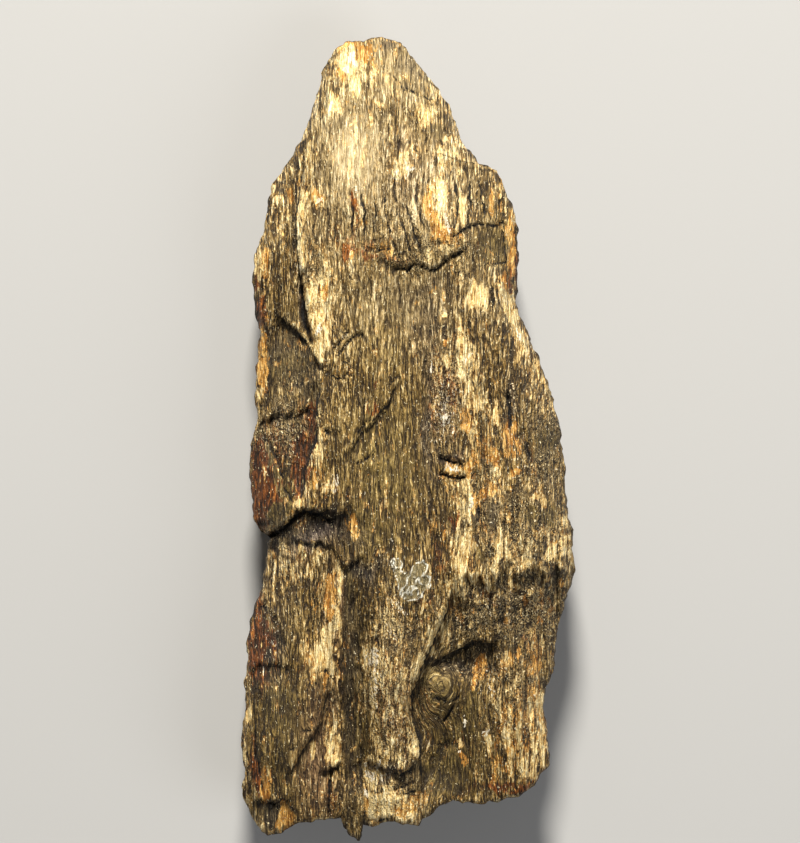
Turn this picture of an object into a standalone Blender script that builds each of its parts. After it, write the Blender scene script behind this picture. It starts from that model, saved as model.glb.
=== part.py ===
"""Petrified wood: a broken, wedge-shaped splinter of a fossil trunk, lying on its broad back.

The stone is one closed body. Its front is a height field over a grid that fills the outline. A wall
runs from the outline down to the back, and the back is a second grid with flat patches at z = 0.
+Y points to the tip, along the grain, and +X to the right as the front is looked at.
"""

import bpy
import numpy as np

# Driving dimensions, in metres
LENGTH = 0.190
CREST_HEIGHT = 0.0445
BACK_INSET = 0.008
EDGE_ROUNDING = 0.0010
FOOT_LIFT = 0.0018
FLAT_WITHIN = 0.00015

# The mesh: cells across and along the front, rows down the wall, and triangles kept at the end
CELLS_ACROSS = 120
CELLS_ALONG = 240
WALL_ROWS = 16
TRIANGLES = 9700

# Everything below is worked out in millimetres and turned into metres when the mesh is made.
MM = 0.001

# Places on the front are picture points: x to the right and y downwards on a straight view of it.
PICTURE_LENGTH = 803.0
PICTURE_CENTRE = (408.25, 437.5)
PICTURE_STEP = LENGTH / MM / PICTURE_LENGTH

# The outline in four stretches, between the corners of the grid
LEFT_EDGE = [
    (247, 804), (242, 793), (245, 775), (242.5, 742), (246, 702), (244, 678), (250, 660), (247, 642),
    (250, 620), (257, 600), (261, 590), (262, 577), (266, 565), (268, 548), (266, 541), (270, 539),
    (276, 534), (270, 535), (262, 531), (254, 520), (252, 500), (249, 476), (252, 440), (256, 425),
    (255.5, 380), (260, 338), (257, 316), (252.5, 278), (255, 254), (264, 230), (269, 198), (272, 185),
    (283, 168), (292, 158), (296, 147), (304, 136), (315, 100), (321, 80), (322, 71), (329, 62),
]
BOTTOM_EDGE = [
    (247, 804), (255, 818), (262, 830), (268, 835), (275, 834), (294, 823), (299, 819), (311, 820),
    (322, 817), (342, 816), (346, 826), (349, 831), (357, 838.5), (360, 839), (362, 828), (363, 822),
    (374, 821), (382, 817), (395, 815), (400, 818), (419, 821.5), (422, 817), (436, 806), (452, 796),
    (462, 801), (490, 799), (506, 795), (518, 793), (530, 785), (540, 772), (549, 763),
]
RIGHT_EDGE = [
    (549, 763), (548, 748), (547, 732), (541, 710), (544, 695), (553, 667), (553, 650), (560, 615),
    (571, 584), (574, 568), (571, 548), (573, 534), (572, 526), (566, 518), (567, 504), (563, 477),
    (564, 468), (558, 420), (549, 389), (541, 366), (530, 340), (519, 316), (516, 302), (518, 268),
    (517, 224), (514, 212), (502, 184), (497, 172), (488, 166), (479, 165), (472, 154), (464, 149),
    (457, 125), (449, 108), (439, 89), (419, 65),
]
TIP_EDGE = [
    (329, 62), (333, 53), (335, 49), (342, 44), (346, 41), (360, 41), (372, 38), (382, 36), (395, 40),
    (402, 44), (410, 55), (419, 65),
]

# Lines that run along the stone, as (picture x, share of the crest height) at each picture y:
# left ridge, left middle, crest, right middle and right shoulder
GUIDE_ROWS = [
    (40, (350, 0.42), (362, 0.47), (374, 0.49), (384, 0.47), (392, 0.42)),
    (100, (322, 0.55), (350, 0.64), (385, 0.69), (410, 0.67), (432, 0.56)),
    (160, (308, 0.64), (345, 0.72), (395, 0.79), (435, 0.78), (462, 0.65)),
    (240, (298, 0.72), (345, 0.80), (400, 0.88), (448, 0.90), (484, 0.76)),
    (300, (307, 0.75), (345, 0.81), (400, 0.86), (452, 0.88), (495, 0.78)),
    (370, (324, 0.82), (352, 0.86), (402, 0.89), (455, 0.91), (512, 0.80)),
    (440, (316, 0.80), (350, 0.86), (402, 0.91), (458, 0.94), (525, 0.81)),
    (510, (303, 0.78), (348, 0.86), (402, 0.94), (460, 0.97), (530, 0.85)),
    (570, (298, 0.69), (350, 0.80), (400, 0.96), (462, 0.98), (530, 0.87)),
    (620, (298, 0.71), (352, 0.78), (395, 0.97), (450, 0.92), (520, 0.80)),
    (680, (298, 0.74), (354, 0.72), (388, 0.95), (440, 0.82), (515, 0.78)),
    (740, (290, 0.72), (354, 0.66), (388, 0.90), (445, 0.74), (518, 0.73)),
    (800, (290, 0.67), (354, 0.61), (388, 0.84), (445, 0.69), (520, 0.69)),
    (839, (292, 0.60), (357, 0.55), (388, 0.79), (440, 0.64), (515, 0.64)),
]

# How high the left and the right edge stand at each picture y, as shares of the crest height
EDGE_ROWS = [
    (40, 0.36, 0.36), (160, 0.44, 0.50), (260, 0.50, 0.54), (340, 0.46, 0.52), (440, 0.44, 0.54),
    (540, 0.46, 0.56), (600, 0.44, 0.54), (700, 0.52, 0.58), (780, 0.50, 0.57), (839, 0.46, 0.52),
]

# Ledges, with the high side on the left of each line's direction: drop, reach over the high side and
# over the low side, width of the step, all in millimetres, how splintered it is from 0 to 1, and then
# the line's picture points
LEDGES = {
    "cap": (0.9, 6, 7, 1.0, 0.3, [
        (370, 258), (380, 261), (390, 266), (402, 267), (414, 265), (426, 269), (434, 271), (441, 266),
        (450, 258), (462, 252), (474, 244),
    ]),
    "cap_right": (0.9, 5, 6, 1.2, 0.3, [(446, 240), (455, 238), (465, 231), (477, 226), (490, 227), (506, 224)]),
    "left_ridge": (2.6, 5, 6, 0.9, 0.3, [
        (312, 140), (303, 180), (298, 220), (298, 250), (303, 280), (307, 310), (312, 335), (320, 358),
    ]),
    "left_flank": (1.7, 5, 9, 0.7, 0.1, [
        (272, 316), (284, 320), (296, 332), (308, 345), (320, 360), (328, 376),
    ]),
    "flank_edge": (1.4, 4, 6, 1.8, 0.6, [(256, 420), (280, 420), (300, 414), (314, 404)]),
    "middle_ridge": (2.4, 4, 5, 1.4, 0.5, [
        (326, 378), (320, 410), (317, 445), (308, 470), (306, 485), (306, 505),
    ]),
    "overhang": (1.8, 6, 7, 0.8, 0.35, [
        (260, 537), (272, 534), (284, 528), (296, 515), (304, 507), (318, 510), (333, 515), (343, 512),
        (350, 500),
    ]),
    "overhang_foot": (1.2, 4, 5, 0.9, 0.2, [
        (288, 533), (297, 540), (310, 541), (319, 540), (326, 544), (334, 546), (339, 554), (342, 563),
        (347, 567), (353, 562), (360, 556), (370, 553),
    ]),
    "diagonal": (1.3, 4, 5, 0.8, 0.35, [
        (350, 462), (352, 452), (362, 432), (376, 420), (386, 410), (392, 396), (400, 374),
    ]),
    "left_block": (1.4, 5, 8, 1.8, 0.4, [(253, 598), (268, 606), (280, 626), (290, 652)]),
    "left_block_foot": (1.2, 4, 5, 1.8, 0.6, [(248, 668), (268, 664), (285, 668), (296, 664)]),
    "low_block": (1.6, 5, 5, 1.4, 0.3, [
        (286, 778), (298, 756), (308, 738), (322, 720), (326, 697), (334, 682),
    ]),
    "cream_tongue": (1.4, 3, 4, 0.7, 0.1, [(318, 772), (330, 767), (342, 760)]),
    "corner_step": (1.2, 4, 5, 0.7, 0.1, [(250, 800), (260, 799), (280, 800), (292, 796)]),
    "channel": (2.0, 3, 6, 2.2, 0.3, [
        (356, 800), (360, 740), (358, 680), (356, 640), (362, 600),
    ]),
    "ridge_end": (1.5, 5, 5, 0.9, 0.3, [
        (366, 750), (374, 760), (388, 766), (400, 769), (409, 763), (416, 752), (420, 740),
    ]),
    "gully": (4.2, 5, 9, 1.8, 0.25, [
        (422, 800), (418, 745), (410, 710), (410, 690), (418, 664), (430, 640), (442, 612), (450, 590),
        (458, 580),
    ]),
    "tongue": (1.8, 5, 7, 0.9, 0.3, [
        (424, 664), (436, 655), (450, 650), (464, 643), (474, 638), (488, 637), (502, 636),
    ]),
    "shoulder": (2.2, 6, 8, 2.4, 1.0, [
        (452, 590), (462, 578), (474, 588), (484, 572), (494, 580), (506, 564), (518, 576), (530, 562),
        (542, 574), (554, 560), (566, 568), (578, 560),
    ]),
    "right_stripe": (1.2, 4, 5, 1.0, 0.3, [(502, 200), (505, 240), (506, 290)]),
}

# Cracks and grooves: depth and half width in millimetres, then the line's picture points
CRACKS = {
    "left_crack": (2.4, 0.8, [(303, 268), (303, 290), (304, 312), (309, 335), (315, 350)]),
    "cap_crack": (1.0, 0.3, [
        (388, 278), (393, 274), (398, 271), (408, 273), (414, 266), (426, 270), (434, 272), (441, 267),
        (448, 260), (456, 258), (464, 253), (467, 247),
    ]),
    "blue_groove": (1.0, 1.6, [(428, 372), (428, 410), (427, 440), (428, 500), (430, 560)]),
    "right_groove": (1.2, 1.6, [(506, 388), (508, 415), (514, 432), (522, 440), (529, 465)]),
    "tongue_crease": (0.6, 0.6, [(500, 590), (498, 604), (500, 624)]),
    "dark_channel": (1.8, 2.4, [(350, 575), (349, 640), (351, 700), (354, 800)]),
    "gully_foot": (1.0, 1.2, [(454, 736), (440, 748), (432, 765), (424, 780), (421, 805)]),
    "overhang_gap": (1.8, 0.45, [
        (258, 539), (272, 536), (284, 530), (294, 519), (304, 511), (318, 513), (330, 519), (340, 516),
    ]),
    "slot_top": (2.0, 0.45, [(435, 458), (444, 459), (454, 461), (464, 465)]),
    "slot_foot": (2.0, 0.45, [(436, 471), (446, 475), (456, 478), (466, 476)]),
    "tongue_foot": (0.9, 0.5, [(436, 657), (450, 652), (464, 645), (474, 640), (488, 639)]),
}

# Round lumps and hollows: picture x and y, radii in millimetres across and along, height
LUMPS = {
    "knot": (440, 683, 4.4, 6.0, 3.0),
    "cap_lobe": (452, 222, 7.0, 9.0, 1.6),
    "rust_hollow": (364, 242, 5.5, 5.5, -1.6),
    "olive_hollow": (494, 246, 4.0, 5.0, -1.4),
    "flank_facet": (292, 372, 5.0, 9.0, -1.8),
    "crystal_hollow": (282, 440, 5.5, 6.0, -1.4),
    "recess": (316, 528, 6.5, 3.4, -1.0),
    "round_block": (290, 725, 7.0, 12.0, 1.5),
    "rough_tongue": (474, 612, 5.0, 6.0, 1.2),
    "gully_hollow": (470, 664, 5.0, 4.0, -1.8),
    "glassy_crust": (410, 576, 4.4, 4.4, 0.9),
    "right_foot": (523, 715, 5.0, 12.0, 1.2),
    "pink_plate": (318, 755, 3.6, 11.0, -0.9),
}

STONE_COLOUR = (0.190, 0.130, 0.066, 1.0)
STONE_ROUGHNESS = 0.68


def place(points):
    """Picture points as millimetres in the stone's own frame."""
    points = np.array(points, float)
    x = (points[..., 0] - PICTURE_CENTRE[0]) * PICTURE_STEP
    y = (PICTURE_CENTRE[1] - points[..., 1]) * PICTURE_STEP
    return np.stack([x, y], -1)


def picture_y(y):
    return PICTURE_CENTRE[1] - y / PICTURE_STEP


def smooth(t):
    t = np.clip(t, 0.0, 1.0)
    return t * t * (3.0 - 2.0 * t)


def scatter(i, j, seed):
    """A fixed number from -1 to 1 for each whole-number place (i, j)."""
    mixed = i.astype(np.int64) * 374761393 + j.astype(np.int64) * 668265263 + seed * 974634777
    mixed = (mixed ^ (mixed >> 13)) * 1274126177 & 0x7FFFFFFF
    mixed = (mixed ^ (mixed >> 16)) & 0xFFFF
    return mixed / 32767.5 - 1.0


def swell(x, y, seed):
    """Smooth rolling noise from -1 to 1, with one wave for each unit of x and y."""
    i, j = np.floor(x), np.floor(y)
    u, v = smooth(x - i), smooth(y - j)
    low = scatter(i, j, seed) * (1 - u) + scatter(i + 1, j, seed) * u
    high = scatter(i, j + 1, seed) * (1 - u) + scatter(i + 1, j + 1, seed) * u
    return low * (1 - v) + high * v


def fibres(x, y, width, length, seed):
    """Ribs along y, broken into splinters that each stand and lean in a way of their own, from -1 to 1."""
    lane = x / width + 0.5 * swell(x / (3 * width), y / (1.3 * length), seed)
    i = np.floor(lane)
    across = lane - i
    along = y / length + 9.0 * scatter(i, i * 0, seed + 1)
    j = np.floor(along)
    share = along - j
    turn = smooth((share - 0.9) / 0.1)
    level = scatter(i, j, seed + 2) + scatter(i, j, seed + 3) * (share - 0.5)
    following = scatter(i, j + 1, seed + 2) - 0.5 * scatter(i, j + 1, seed + 3)
    return 0.6 * (level * (1 - turn) + following * turn) + 0.4 * (1 - 2 * (2 * across - 1) ** 2)


def splinter_ends(x, y):
    """How far each fibre runs on past a break across the grain, in millimetres."""
    reach = np.zeros(x.shape)
    for width, most, seed in ((4.3, 1.8, 15), (1.7, 0.9, 16)):
        lane = x / width + 0.4 * swell(x / 6.0, y / 18.0, seed + 3)
        i = np.floor(lane)
        turn = smooth((lane - i - 0.7) / 0.3)
        reach += most * (scatter(i, i * 0, seed) * (1 - turn) + scatter(i + 1, i * 0, seed) * turn)
    return reach


def curve_through(nodes_x, nodes_z, x):
    """Height at x on a smooth curve through nodes that are given anew for each point."""
    slopes = np.empty_like(nodes_z)
    slopes[1:-1] = (nodes_z[2:] - nodes_z[:-2]) / (nodes_x[2:] - nodes_x[:-2])
    slopes[0] = 1.4 * (nodes_z[1] - nodes_z[0]) / (nodes_x[1] - nodes_x[0])
    slopes[-1] = 1.4 * (nodes_z[-1] - nodes_z[-2]) / (nodes_x[-1] - nodes_x[-2])
    height = np.where(x < nodes_x[0], nodes_z[0], nodes_z[-1])
    for k in range(len(nodes_x) - 1):
        width = nodes_x[k + 1] - nodes_x[k]
        t = (x - nodes_x[k]) / width
        bend = smooth(t)
        piece = nodes_z[k] * (1 - bend) + nodes_z[k + 1] * bend
        piece += width * t * (1 - t) * (slopes[k] * (1 - t) - slopes[k + 1] * t)
        height = np.where((t >= 0) & (t < 1), piece, height)
    return height


def edge_across(y, edge):
    """How far across an edge lies at y, evened out over its small notches."""
    edge = place(edge)
    return sum(np.interp(y + shift, edge[:, 1], edge[:, 0]) for shift in (-3.0, -1.5, 0.0, 1.5, 3.0)) / 5


def body_height(x, y):
    """The stone's broad form, from its edges and its five guide lines."""
    down = picture_y(y)
    crest = CREST_HEIGHT / MM
    rows = [row[0] for row in GUIDE_ROWS]
    edge_rows, left_edge, right_edge = zip(*EDGE_ROWS)
    nodes_x = [edge_across(y, LEFT_EDGE)]
    nodes_z = [np.interp(down, edge_rows, left_edge) * crest]
    for line in range(1, len(GUIDE_ROWS[0])):
        guide = place([(row[line][0], row[0]) for row in GUIDE_ROWS])
        nodes_x.append(np.interp(y, guide[::-1, 1], guide[::-1, 0]))
        nodes_z.append(np.interp(down, rows, [row[line][1] for row in GUIDE_ROWS]) * crest)
    nodes_x.append(edge_across(y, RIGHT_EDGE))
    nodes_z.append(np.interp(down, edge_rows, right_edge) * crest)
    return curve_through(np.array(nodes_x), np.array(nodes_z), x)


def line_distance(x, y, line):
    """Distance to a line, positive on its left, and the share of its length at the nearest point."""
    line = place(line)
    steps = np.diff(line, axis=0)
    lengths = np.hypot(steps[:, 0], steps[:, 1])
    sides = np.stack([-steps[:, 1], steps[:, 0]], 1) / lengths[:, None]
    starts = np.concatenate([[0.0], np.cumsum(lengths)])
    nearest = np.full(x.shape, np.inf)
    signed = np.zeros(x.shape)
    share = np.zeros(x.shape)
    for k, step in enumerate(steps):
        from_x, from_y = x - line[k, 0], y - line[k, 1]
        t = np.clip((from_x * step[0] + from_y * step[1]) / lengths[k] ** 2, 0.0, 1.0)
        away_x, away_y = from_x - t * step[0], from_y - t * step[1]
        away = np.hypot(away_x, away_y)
        before = sides[max(k - 1, 0)] + sides[k]
        after = sides[min(k + 1, len(steps) - 1)] + sides[k]
        side_x = np.where(t <= 0, before[0], np.where(t >= 1, after[0], sides[k, 0]))
        side_y = np.where(t <= 0, before[1], np.where(t >= 1, after[1], sides[k, 1]))
        closer = away < nearest
        nearest = np.where(closer, away, nearest)
        signed = np.where(closer, np.where(away_x * side_x + away_y * side_y < 0, -away, away), signed)
        share = np.where(closer, (starts[k] + t * lengths[k]) / starts[-1], share)
    return signed, share


def end_fade(share):
    return smooth(share / 0.14) * smooth((1 - share) / 0.14)


def ledge_height(x, y):
    """Steps across the grain and along it: up on one side, down on the other."""
    splinters = splinter_ends(x, y)
    sway = 0.8 * swell(x / 3.0, y / 5.0, 12)
    height = np.zeros(x.shape)
    for drop, reach_high, reach_low, width, ragged, line in LEDGES.values():
        ragged_x, ragged_y = x + sway * (0.3 + 0.4 * ragged), y + splinters * ragged + 0.3 * sway
        away, share = line_distance(ragged_x, ragged_y, line)
        high = smooth(away / width + 0.5)
        rise = 0.35 * np.exp(-((np.maximum(away, 0) / reach_high) ** 2)) * high
        fall = 0.65 * np.exp(-((np.minimum(away, 0) / reach_low) ** 2)) * (1 - high)
        height += drop * end_fade(share) * (rise - fall)
    return height


def crack_height(x, y):
    height = np.zeros(x.shape)
    for depth, half_width, line in CRACKS.values():
        away, share = line_distance(x, y, line)
        height -= depth * end_fade(share) * np.exp(-((away / half_width) ** 2))
    return height


def lump_height(x, y):
    height = np.zeros(x.shape)
    for across, down, radius_x, radius_y, rise in LUMPS.values():
        centre = place((across, down))
        off = ((x - centre[0]) / radius_x) ** 2 + ((y - centre[1]) / radius_y) ** 2
        height += rise * np.exp(-off)
    return height


def grain_height(x, y):
    """The ribs of the grain, several times longer than they are wide, and its broader splinters."""
    height = 0.55 * swell(x / 5.5, y / 26.0, 21)
    height += 0.45 * swell(x / 3.1, y / 13.0, 22)
    height += 0.30 * swell(x / 1.9, y / 9.0, 23)
    height += 0.42 * fibres(x, y, 3.1, 19.0, 71)
    height += 0.30 * fibres(x, y, 1.7, 9.0, 75)
    return height


def edge_drop(x, y, ring):
    """How far the front falls away where it rounds over into the wall."""
    radius = EDGE_ROUNDING / MM
    gap = np.full(x.shape, np.inf)
    for start, end in zip(ring, np.roll(ring, -1, axis=0)):
        step = end - start
        t = ((x - start[0]) * step[0] + (y - start[1]) * step[1]) / (step @ step)
        t = np.clip(t, 0.0, 1.0)
        gap = np.minimum(gap, np.hypot(x - start[0] - t * step[0], y - start[1] - t * step[1]))
    inward = 1.0 - np.minimum(gap / radius, 1.0)
    return radius * (1.0 - np.sqrt(1.0 - inward**2))


def front_height(x, y, ring):
    height = body_height(x, y) + ledge_height(x, y) + crack_height(x, y) + lump_height(x, y)
    return height + grain_height(x, y) - edge_drop(x, y, ring)


def back_height(x, y):
    """The underside: shallow hollows with faint ribs between broad patches that lie flat at zero."""
    hollows = 1.9 * swell(x / 21.0, y / 38.0, 31) + 0.7 * swell(x / 7.0, y / 24.0, 32)
    deep = np.maximum(hollows - 0.35, 0.0)
    return deep + 0.5 * smooth(deep) * (1 + swell(x / 2.6, y / 21.0, 33))


def foot_lift(x, y, gap):
    """How far the underside curves up towards its edge, which is the given gap away."""
    return FOOT_LIFT / MM * (1 + 0.4 * swell(x / 9.0, y / 13.0, 34)) * np.exp(-gap / 3.0)


def wall_relief(along, height, x, end_on, inset):
    """How far the wall stands in: long steps and ribs on the flanks, broken lumps where it is end-on."""
    sway = 4.0 * swell(along / 67.0, along * 0, 43) + 1.5 * swell(along / 26.0, along * 0, 44)
    level = (height + sway) / 6.4
    share = level - np.floor(level)
    steps = smooth((share - 0.72) / 0.28) - share
    steps *= 1.5 + 0.9 * swell(along / 31.0, np.floor(level), 48)
    chunk = 1.6 * swell(along / 29.0, height / 9.0, 41) + 0.7 * swell(along / 13.0, height / 4.0, 42)
    flank = steps + chunk + 0.5 * fibres(height, along, 3.6, 31.0, 49)
    lumps = 1.5 * swell(x / 8.0, height / 7.0, 45) + 1.1 * swell(x / 3.7, height / 3.4, 46)
    return np.maximum(flank * (1 - end_on) + lumps * end_on, -0.85 * inset)


def spaced(points, count):
    """Points at even steps along a line of picture points."""
    points = place(points)
    along = np.concatenate([[0.0], np.cumsum(np.hypot(*np.diff(points, axis=0).T))])
    steps = np.linspace(0.0, along[-1], count + 1)
    return np.stack([np.interp(steps, along, points[:, 0]), np.interp(steps, along, points[:, 1])], 1)


def fill_between(left, right, bottom, tip):
    """A grid of points whose four sides are the given lines."""
    u = np.linspace(0.0, 1.0, len(bottom))[None, :, None]
    v = np.linspace(0.0, 1.0, len(left))[:, None, None]
    sides = (1 - u) * left[:, None] + u * right[:, None]
    ends = (1 - v) * bottom[None] + v * tip[None]
    corners = (1 - v) * ((1 - u) * bottom[0] + u * bottom[-1]) + v * ((1 - u) * tip[0] + u * tip[-1])
    return sides + ends - corners


def border_gap(grid):
    """For each point of a grid, roughly how far it is from the grid's border."""
    across = np.hypot(*np.moveaxis(grid - grid[:, :1], -1, 0))
    across = np.minimum(across, np.hypot(*np.moveaxis(grid - grid[:, -1:], -1, 0)))
    along = np.hypot(*np.moveaxis(grid - grid[:1], -1, 0))
    along = np.minimum(along, np.hypot(*np.moveaxis(grid - grid[-1:], -1, 0)))
    return np.minimum(across, along)


def ring_of(grid):
    """The border of a grid, counter-clockwise as seen from above."""
    return np.concatenate([grid[0, :-1], grid[:-1, -1], grid[-1, :0:-1], grid[:0:-1, 0]])


def back_ring(ring):
    """The outline of the back: the front's outline made smooth and drawn in."""
    closed = np.concatenate([ring, ring[:1]])
    along = np.concatenate([[0.0], np.cumsum(np.hypot(*np.diff(closed, axis=0).T))])
    count = 720
    even = np.linspace(0.0, along[-1], count, endpoint=False)
    turns = np.interp(even, along, closed[:, 0]) + 1j * np.interp(even, along, closed[:, 1])
    waves = np.fft.fftfreq(count, along[-1] / count)
    turns = np.fft.ifft(np.fft.fft(turns) * np.exp(-((waves * 24.0) ** 2)))
    outward = -1j * (np.roll(turns, -1) - np.roll(turns, 1))
    turns = turns - outward / abs(outward) * BACK_INSET / MM
    wrapped = np.append(turns, turns[0])
    places = np.append(even, along[-1])
    x = np.interp(along[:-1], places, wrapped.real)
    y = np.interp(along[:-1], places, wrapped.imag)
    return np.stack([x, y], 1), along[:-1]


def wall_points(ring, rim_height, foot, foot_height, along):
    """Rows of points from the rim down to the foot."""
    inward = foot - ring
    inward /= np.hypot(inward[:, 0], inward[:, 1])[:, None]
    end_on = smooth(1.6 * np.abs(inward[:, 1]) - 0.5)
    rows = []
    for row in range(1, WALL_ROWS):
        depth = row / WALL_ROWS
        spot = ring * (1 - depth**2) + foot * depth**2
        height = rim_height * (1 - depth) + foot_height * depth
        inset = np.hypot(*(spot - ring).T)
        into = wall_relief(along, height, spot[:, 0], end_on, inset)
        into *= smooth(depth * 5) * smooth((1 - depth) * 4)
        rows.append(np.column_stack([spot + inward * into[:, None], height]))
    return rows


def quads(a, b, c, d):
    return np.stack([a, b, c, d], -1).reshape(-1, 4)


def stone_mesh():
    """Vertices in metres and four-sided faces of the whole closed body."""
    left, right = spaced(LEFT_EDGE, CELLS_ALONG), spaced(RIGHT_EDGE, CELLS_ALONG)
    bottom, tip = spaced(BOTTOM_EDGE, CELLS_ACROSS), spaced(TIP_EDGE, CELLS_ACROSS)
    grid = fill_between(left, right, bottom, tip)
    ring = ring_of(grid)
    outline = place(BOTTOM_EDGE[:-1] + RIGHT_EDGE[:-1] + TIP_EDGE[:0:-1] + LEFT_EDGE[:0:-1])
    height = front_height(grid[..., 0], grid[..., 1], outline)
    front = np.dstack([grid, height])

    foot, along = back_ring(ring)
    rim_height = ring_of(height)
    foot_height = back_height(foot[:, 0], foot[:, 1]) + foot_lift(foot[:, 0], foot[:, 1], 0.0)
    rows = wall_points(ring, rim_height, foot, foot_height, along)

    across, up = CELLS_ACROSS, CELLS_ALONG
    foot_bottom = foot[: across + 1]
    foot_right = foot[across : across + up + 1]
    foot_tip = foot[across + up : 2 * across + up + 1][::-1]
    foot_left = np.concatenate([foot[2 * across + up :], foot[:1]])[::-1]
    back = fill_between(foot_left, foot_right, foot_bottom, foot_tip)
    back_x, back_y = back[..., 0], back[..., 1]
    lift = foot_lift(back_x, back_y, border_gap(back))
    back = np.dstack([back, back_height(back_x, back_y) + lift])

    front_index = np.arange(front[..., 0].size).reshape(up + 1, across + 1)
    row_index = np.arange(len(rows) * len(ring)).reshape(len(rows), -1) + front_index.size
    back_index = np.arange(back[..., 0].size).reshape(up + 1, across + 1)
    back_index = back_index + front_index.size + row_index.size
    points = np.concatenate([front.reshape(-1, 3), np.concatenate(rows), back.reshape(-1, 3)])

    rings = [ring_of(front_index), *row_index, ring_of(back_index)]
    faces = [quads(front_index[:-1, :-1], front_index[:-1, 1:], front_index[1:, 1:], front_index[1:, :-1])]
    for upper, lower in zip(rings, rings[1:]):
        faces.append(quads(lower, np.roll(lower, -1), np.roll(upper, -1), upper))
    faces.append(quads(back_index[:-1, :-1], back_index[1:, :-1], back_index[1:, 1:], back_index[:-1, 1:]))
    return points * MM, np.concatenate(faces)


def reduced(stone):
    """The object's mesh brought down to the wanted number of triangles, with its flats at zero."""
    mesh = stone.data
    thinner = stone.modifiers.new("fewer_triangles", "DECIMATE")
    thinner.ratio = TRIANGLES / (2 * len(mesh.polygons))
    thinner.use_collapse_triangulate = True
    graph = bpy.context.evaluated_depsgraph_get()
    lighter = bpy.data.meshes.new_from_object(stone.evaluated_get(graph))
    stone.modifiers.remove(thinner)

    points = np.empty(len(lighter.vertices) * 3, np.float32)
    lighter.vertices.foreach_get("co", points)
    points = points.reshape(-1, 3)
    points[:, :2] -= (points[:, :2].min(0) + points[:, :2].max(0)) / 2
    points[points[:, 2] < FLAT_WITHIN, 2] = 0.0
    lighter.vertices.foreach_set("co", points.ravel())
    lighter.update()
    return lighter


def stone_material():
    material = bpy.data.materials.new("petrified_wood")
    material.use_nodes = True
    shader = material.node_tree.nodes["Principled BSDF"]
    shader.inputs["Base Color"].default_value = STONE_COLOUR
    shader.inputs["Roughness"].default_value = STONE_ROUGHNESS
    shader.inputs["Metallic"].default_value = 0.0
    return material


def build():
    for obj in list(bpy.data.objects):
        bpy.data.objects.remove(obj, do_unlink=True)
    points, faces = stone_mesh()
    mesh = bpy.data.meshes.new("stone_fine")
    mesh.from_pydata(points.tolist(), [], faces.tolist())
    stone = bpy.data.objects.new("petrified_wood", mesh)
    bpy.context.scene.collection.objects.link(stone)
    stone.data = reduced(stone)
    stone.data.name = "petrified_wood"
    stone.data.materials.clear()
    stone.data.materials.append(stone_material())


build()
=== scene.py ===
"""Looks of the petrified wood: a fine mesh of the same stone with its grain, splinters and colours.

The fine mesh repeats the solid's outline, guide lines, ledges and cracks, and adds what is under a
millimetre. It then stands for the solid.
"""

import bpy
import numpy as np
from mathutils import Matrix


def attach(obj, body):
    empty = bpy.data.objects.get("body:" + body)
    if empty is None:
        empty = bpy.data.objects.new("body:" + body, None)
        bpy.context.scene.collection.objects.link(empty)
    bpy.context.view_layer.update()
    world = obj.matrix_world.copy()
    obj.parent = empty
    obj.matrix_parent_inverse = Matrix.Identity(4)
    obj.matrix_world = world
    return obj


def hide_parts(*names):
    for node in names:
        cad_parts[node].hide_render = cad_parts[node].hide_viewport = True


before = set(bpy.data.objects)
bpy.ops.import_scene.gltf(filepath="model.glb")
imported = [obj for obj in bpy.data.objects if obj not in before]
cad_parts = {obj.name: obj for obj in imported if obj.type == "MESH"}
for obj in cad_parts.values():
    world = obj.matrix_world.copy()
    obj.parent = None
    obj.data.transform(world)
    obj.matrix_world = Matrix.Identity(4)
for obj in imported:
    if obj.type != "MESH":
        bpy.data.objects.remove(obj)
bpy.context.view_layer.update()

# Driving dimensions, in metres, as in the solid
LENGTH = 0.190
CREST_HEIGHT = 0.0445
BACK_INSET = 0.008
EDGE_ROUNDING = 0.0010
FOOT_LIFT = 0.0018

# The mesh: cells across and along the front, then rows down the wall at full and at half detail
CELLS_ACROSS = 224
CELLS_ALONG = 288
FULL_ROWS = 4
HALF_ROWS = 24

# Shape work is in millimetres and is turned into metres when the mesh is made.
MM = 0.001

# Places on the front are picture points: x to the right and y downwards on a straight view of it.
PICTURE_SIZE = (800.0, 843.0)
PICTURE_LENGTH = 803.0
PICTURE_CENTRE = (408.25, 437.5)
PICTURE_STEP = LENGTH / MM / PICTURE_LENGTH

# The outline in four stretches, between the corners of the grid
LEFT_EDGE = [
    (247, 804), (242, 793), (245, 775), (242.5, 742), (246, 702), (244, 678), (250, 660), (247, 642),
    (250, 620), (257, 600), (261, 590), (262, 577), (266, 565), (268, 548), (266, 541), (270, 539),
    (276, 534), (270, 535), (262, 531), (254, 520), (252, 500), (249, 476), (252, 440), (256, 425),
    (255.5, 380), (260, 338), (257, 316), (252.5, 278), (255, 254), (264, 230), (269, 198), (272, 185),
    (283, 168), (292, 158), (296, 147), (304, 136), (315, 100), (321, 80), (322, 71), (329, 62),
]
BOTTOM_EDGE = [
    (247, 804), (255, 818), (262, 830), (268, 835), (275, 834), (294, 823), (299, 819), (311, 820),
    (322, 817), (342, 816), (346, 826), (349, 831), (357, 838.5), (360, 839), (362, 828), (363, 822),
    (374, 821), (382, 817), (395, 815), (400, 818), (419, 821.5), (422, 817), (436, 806), (452, 796),
    (462, 801), (490, 799), (506, 795), (518, 793), (530, 785), (540, 772), (549, 763),
]
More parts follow.
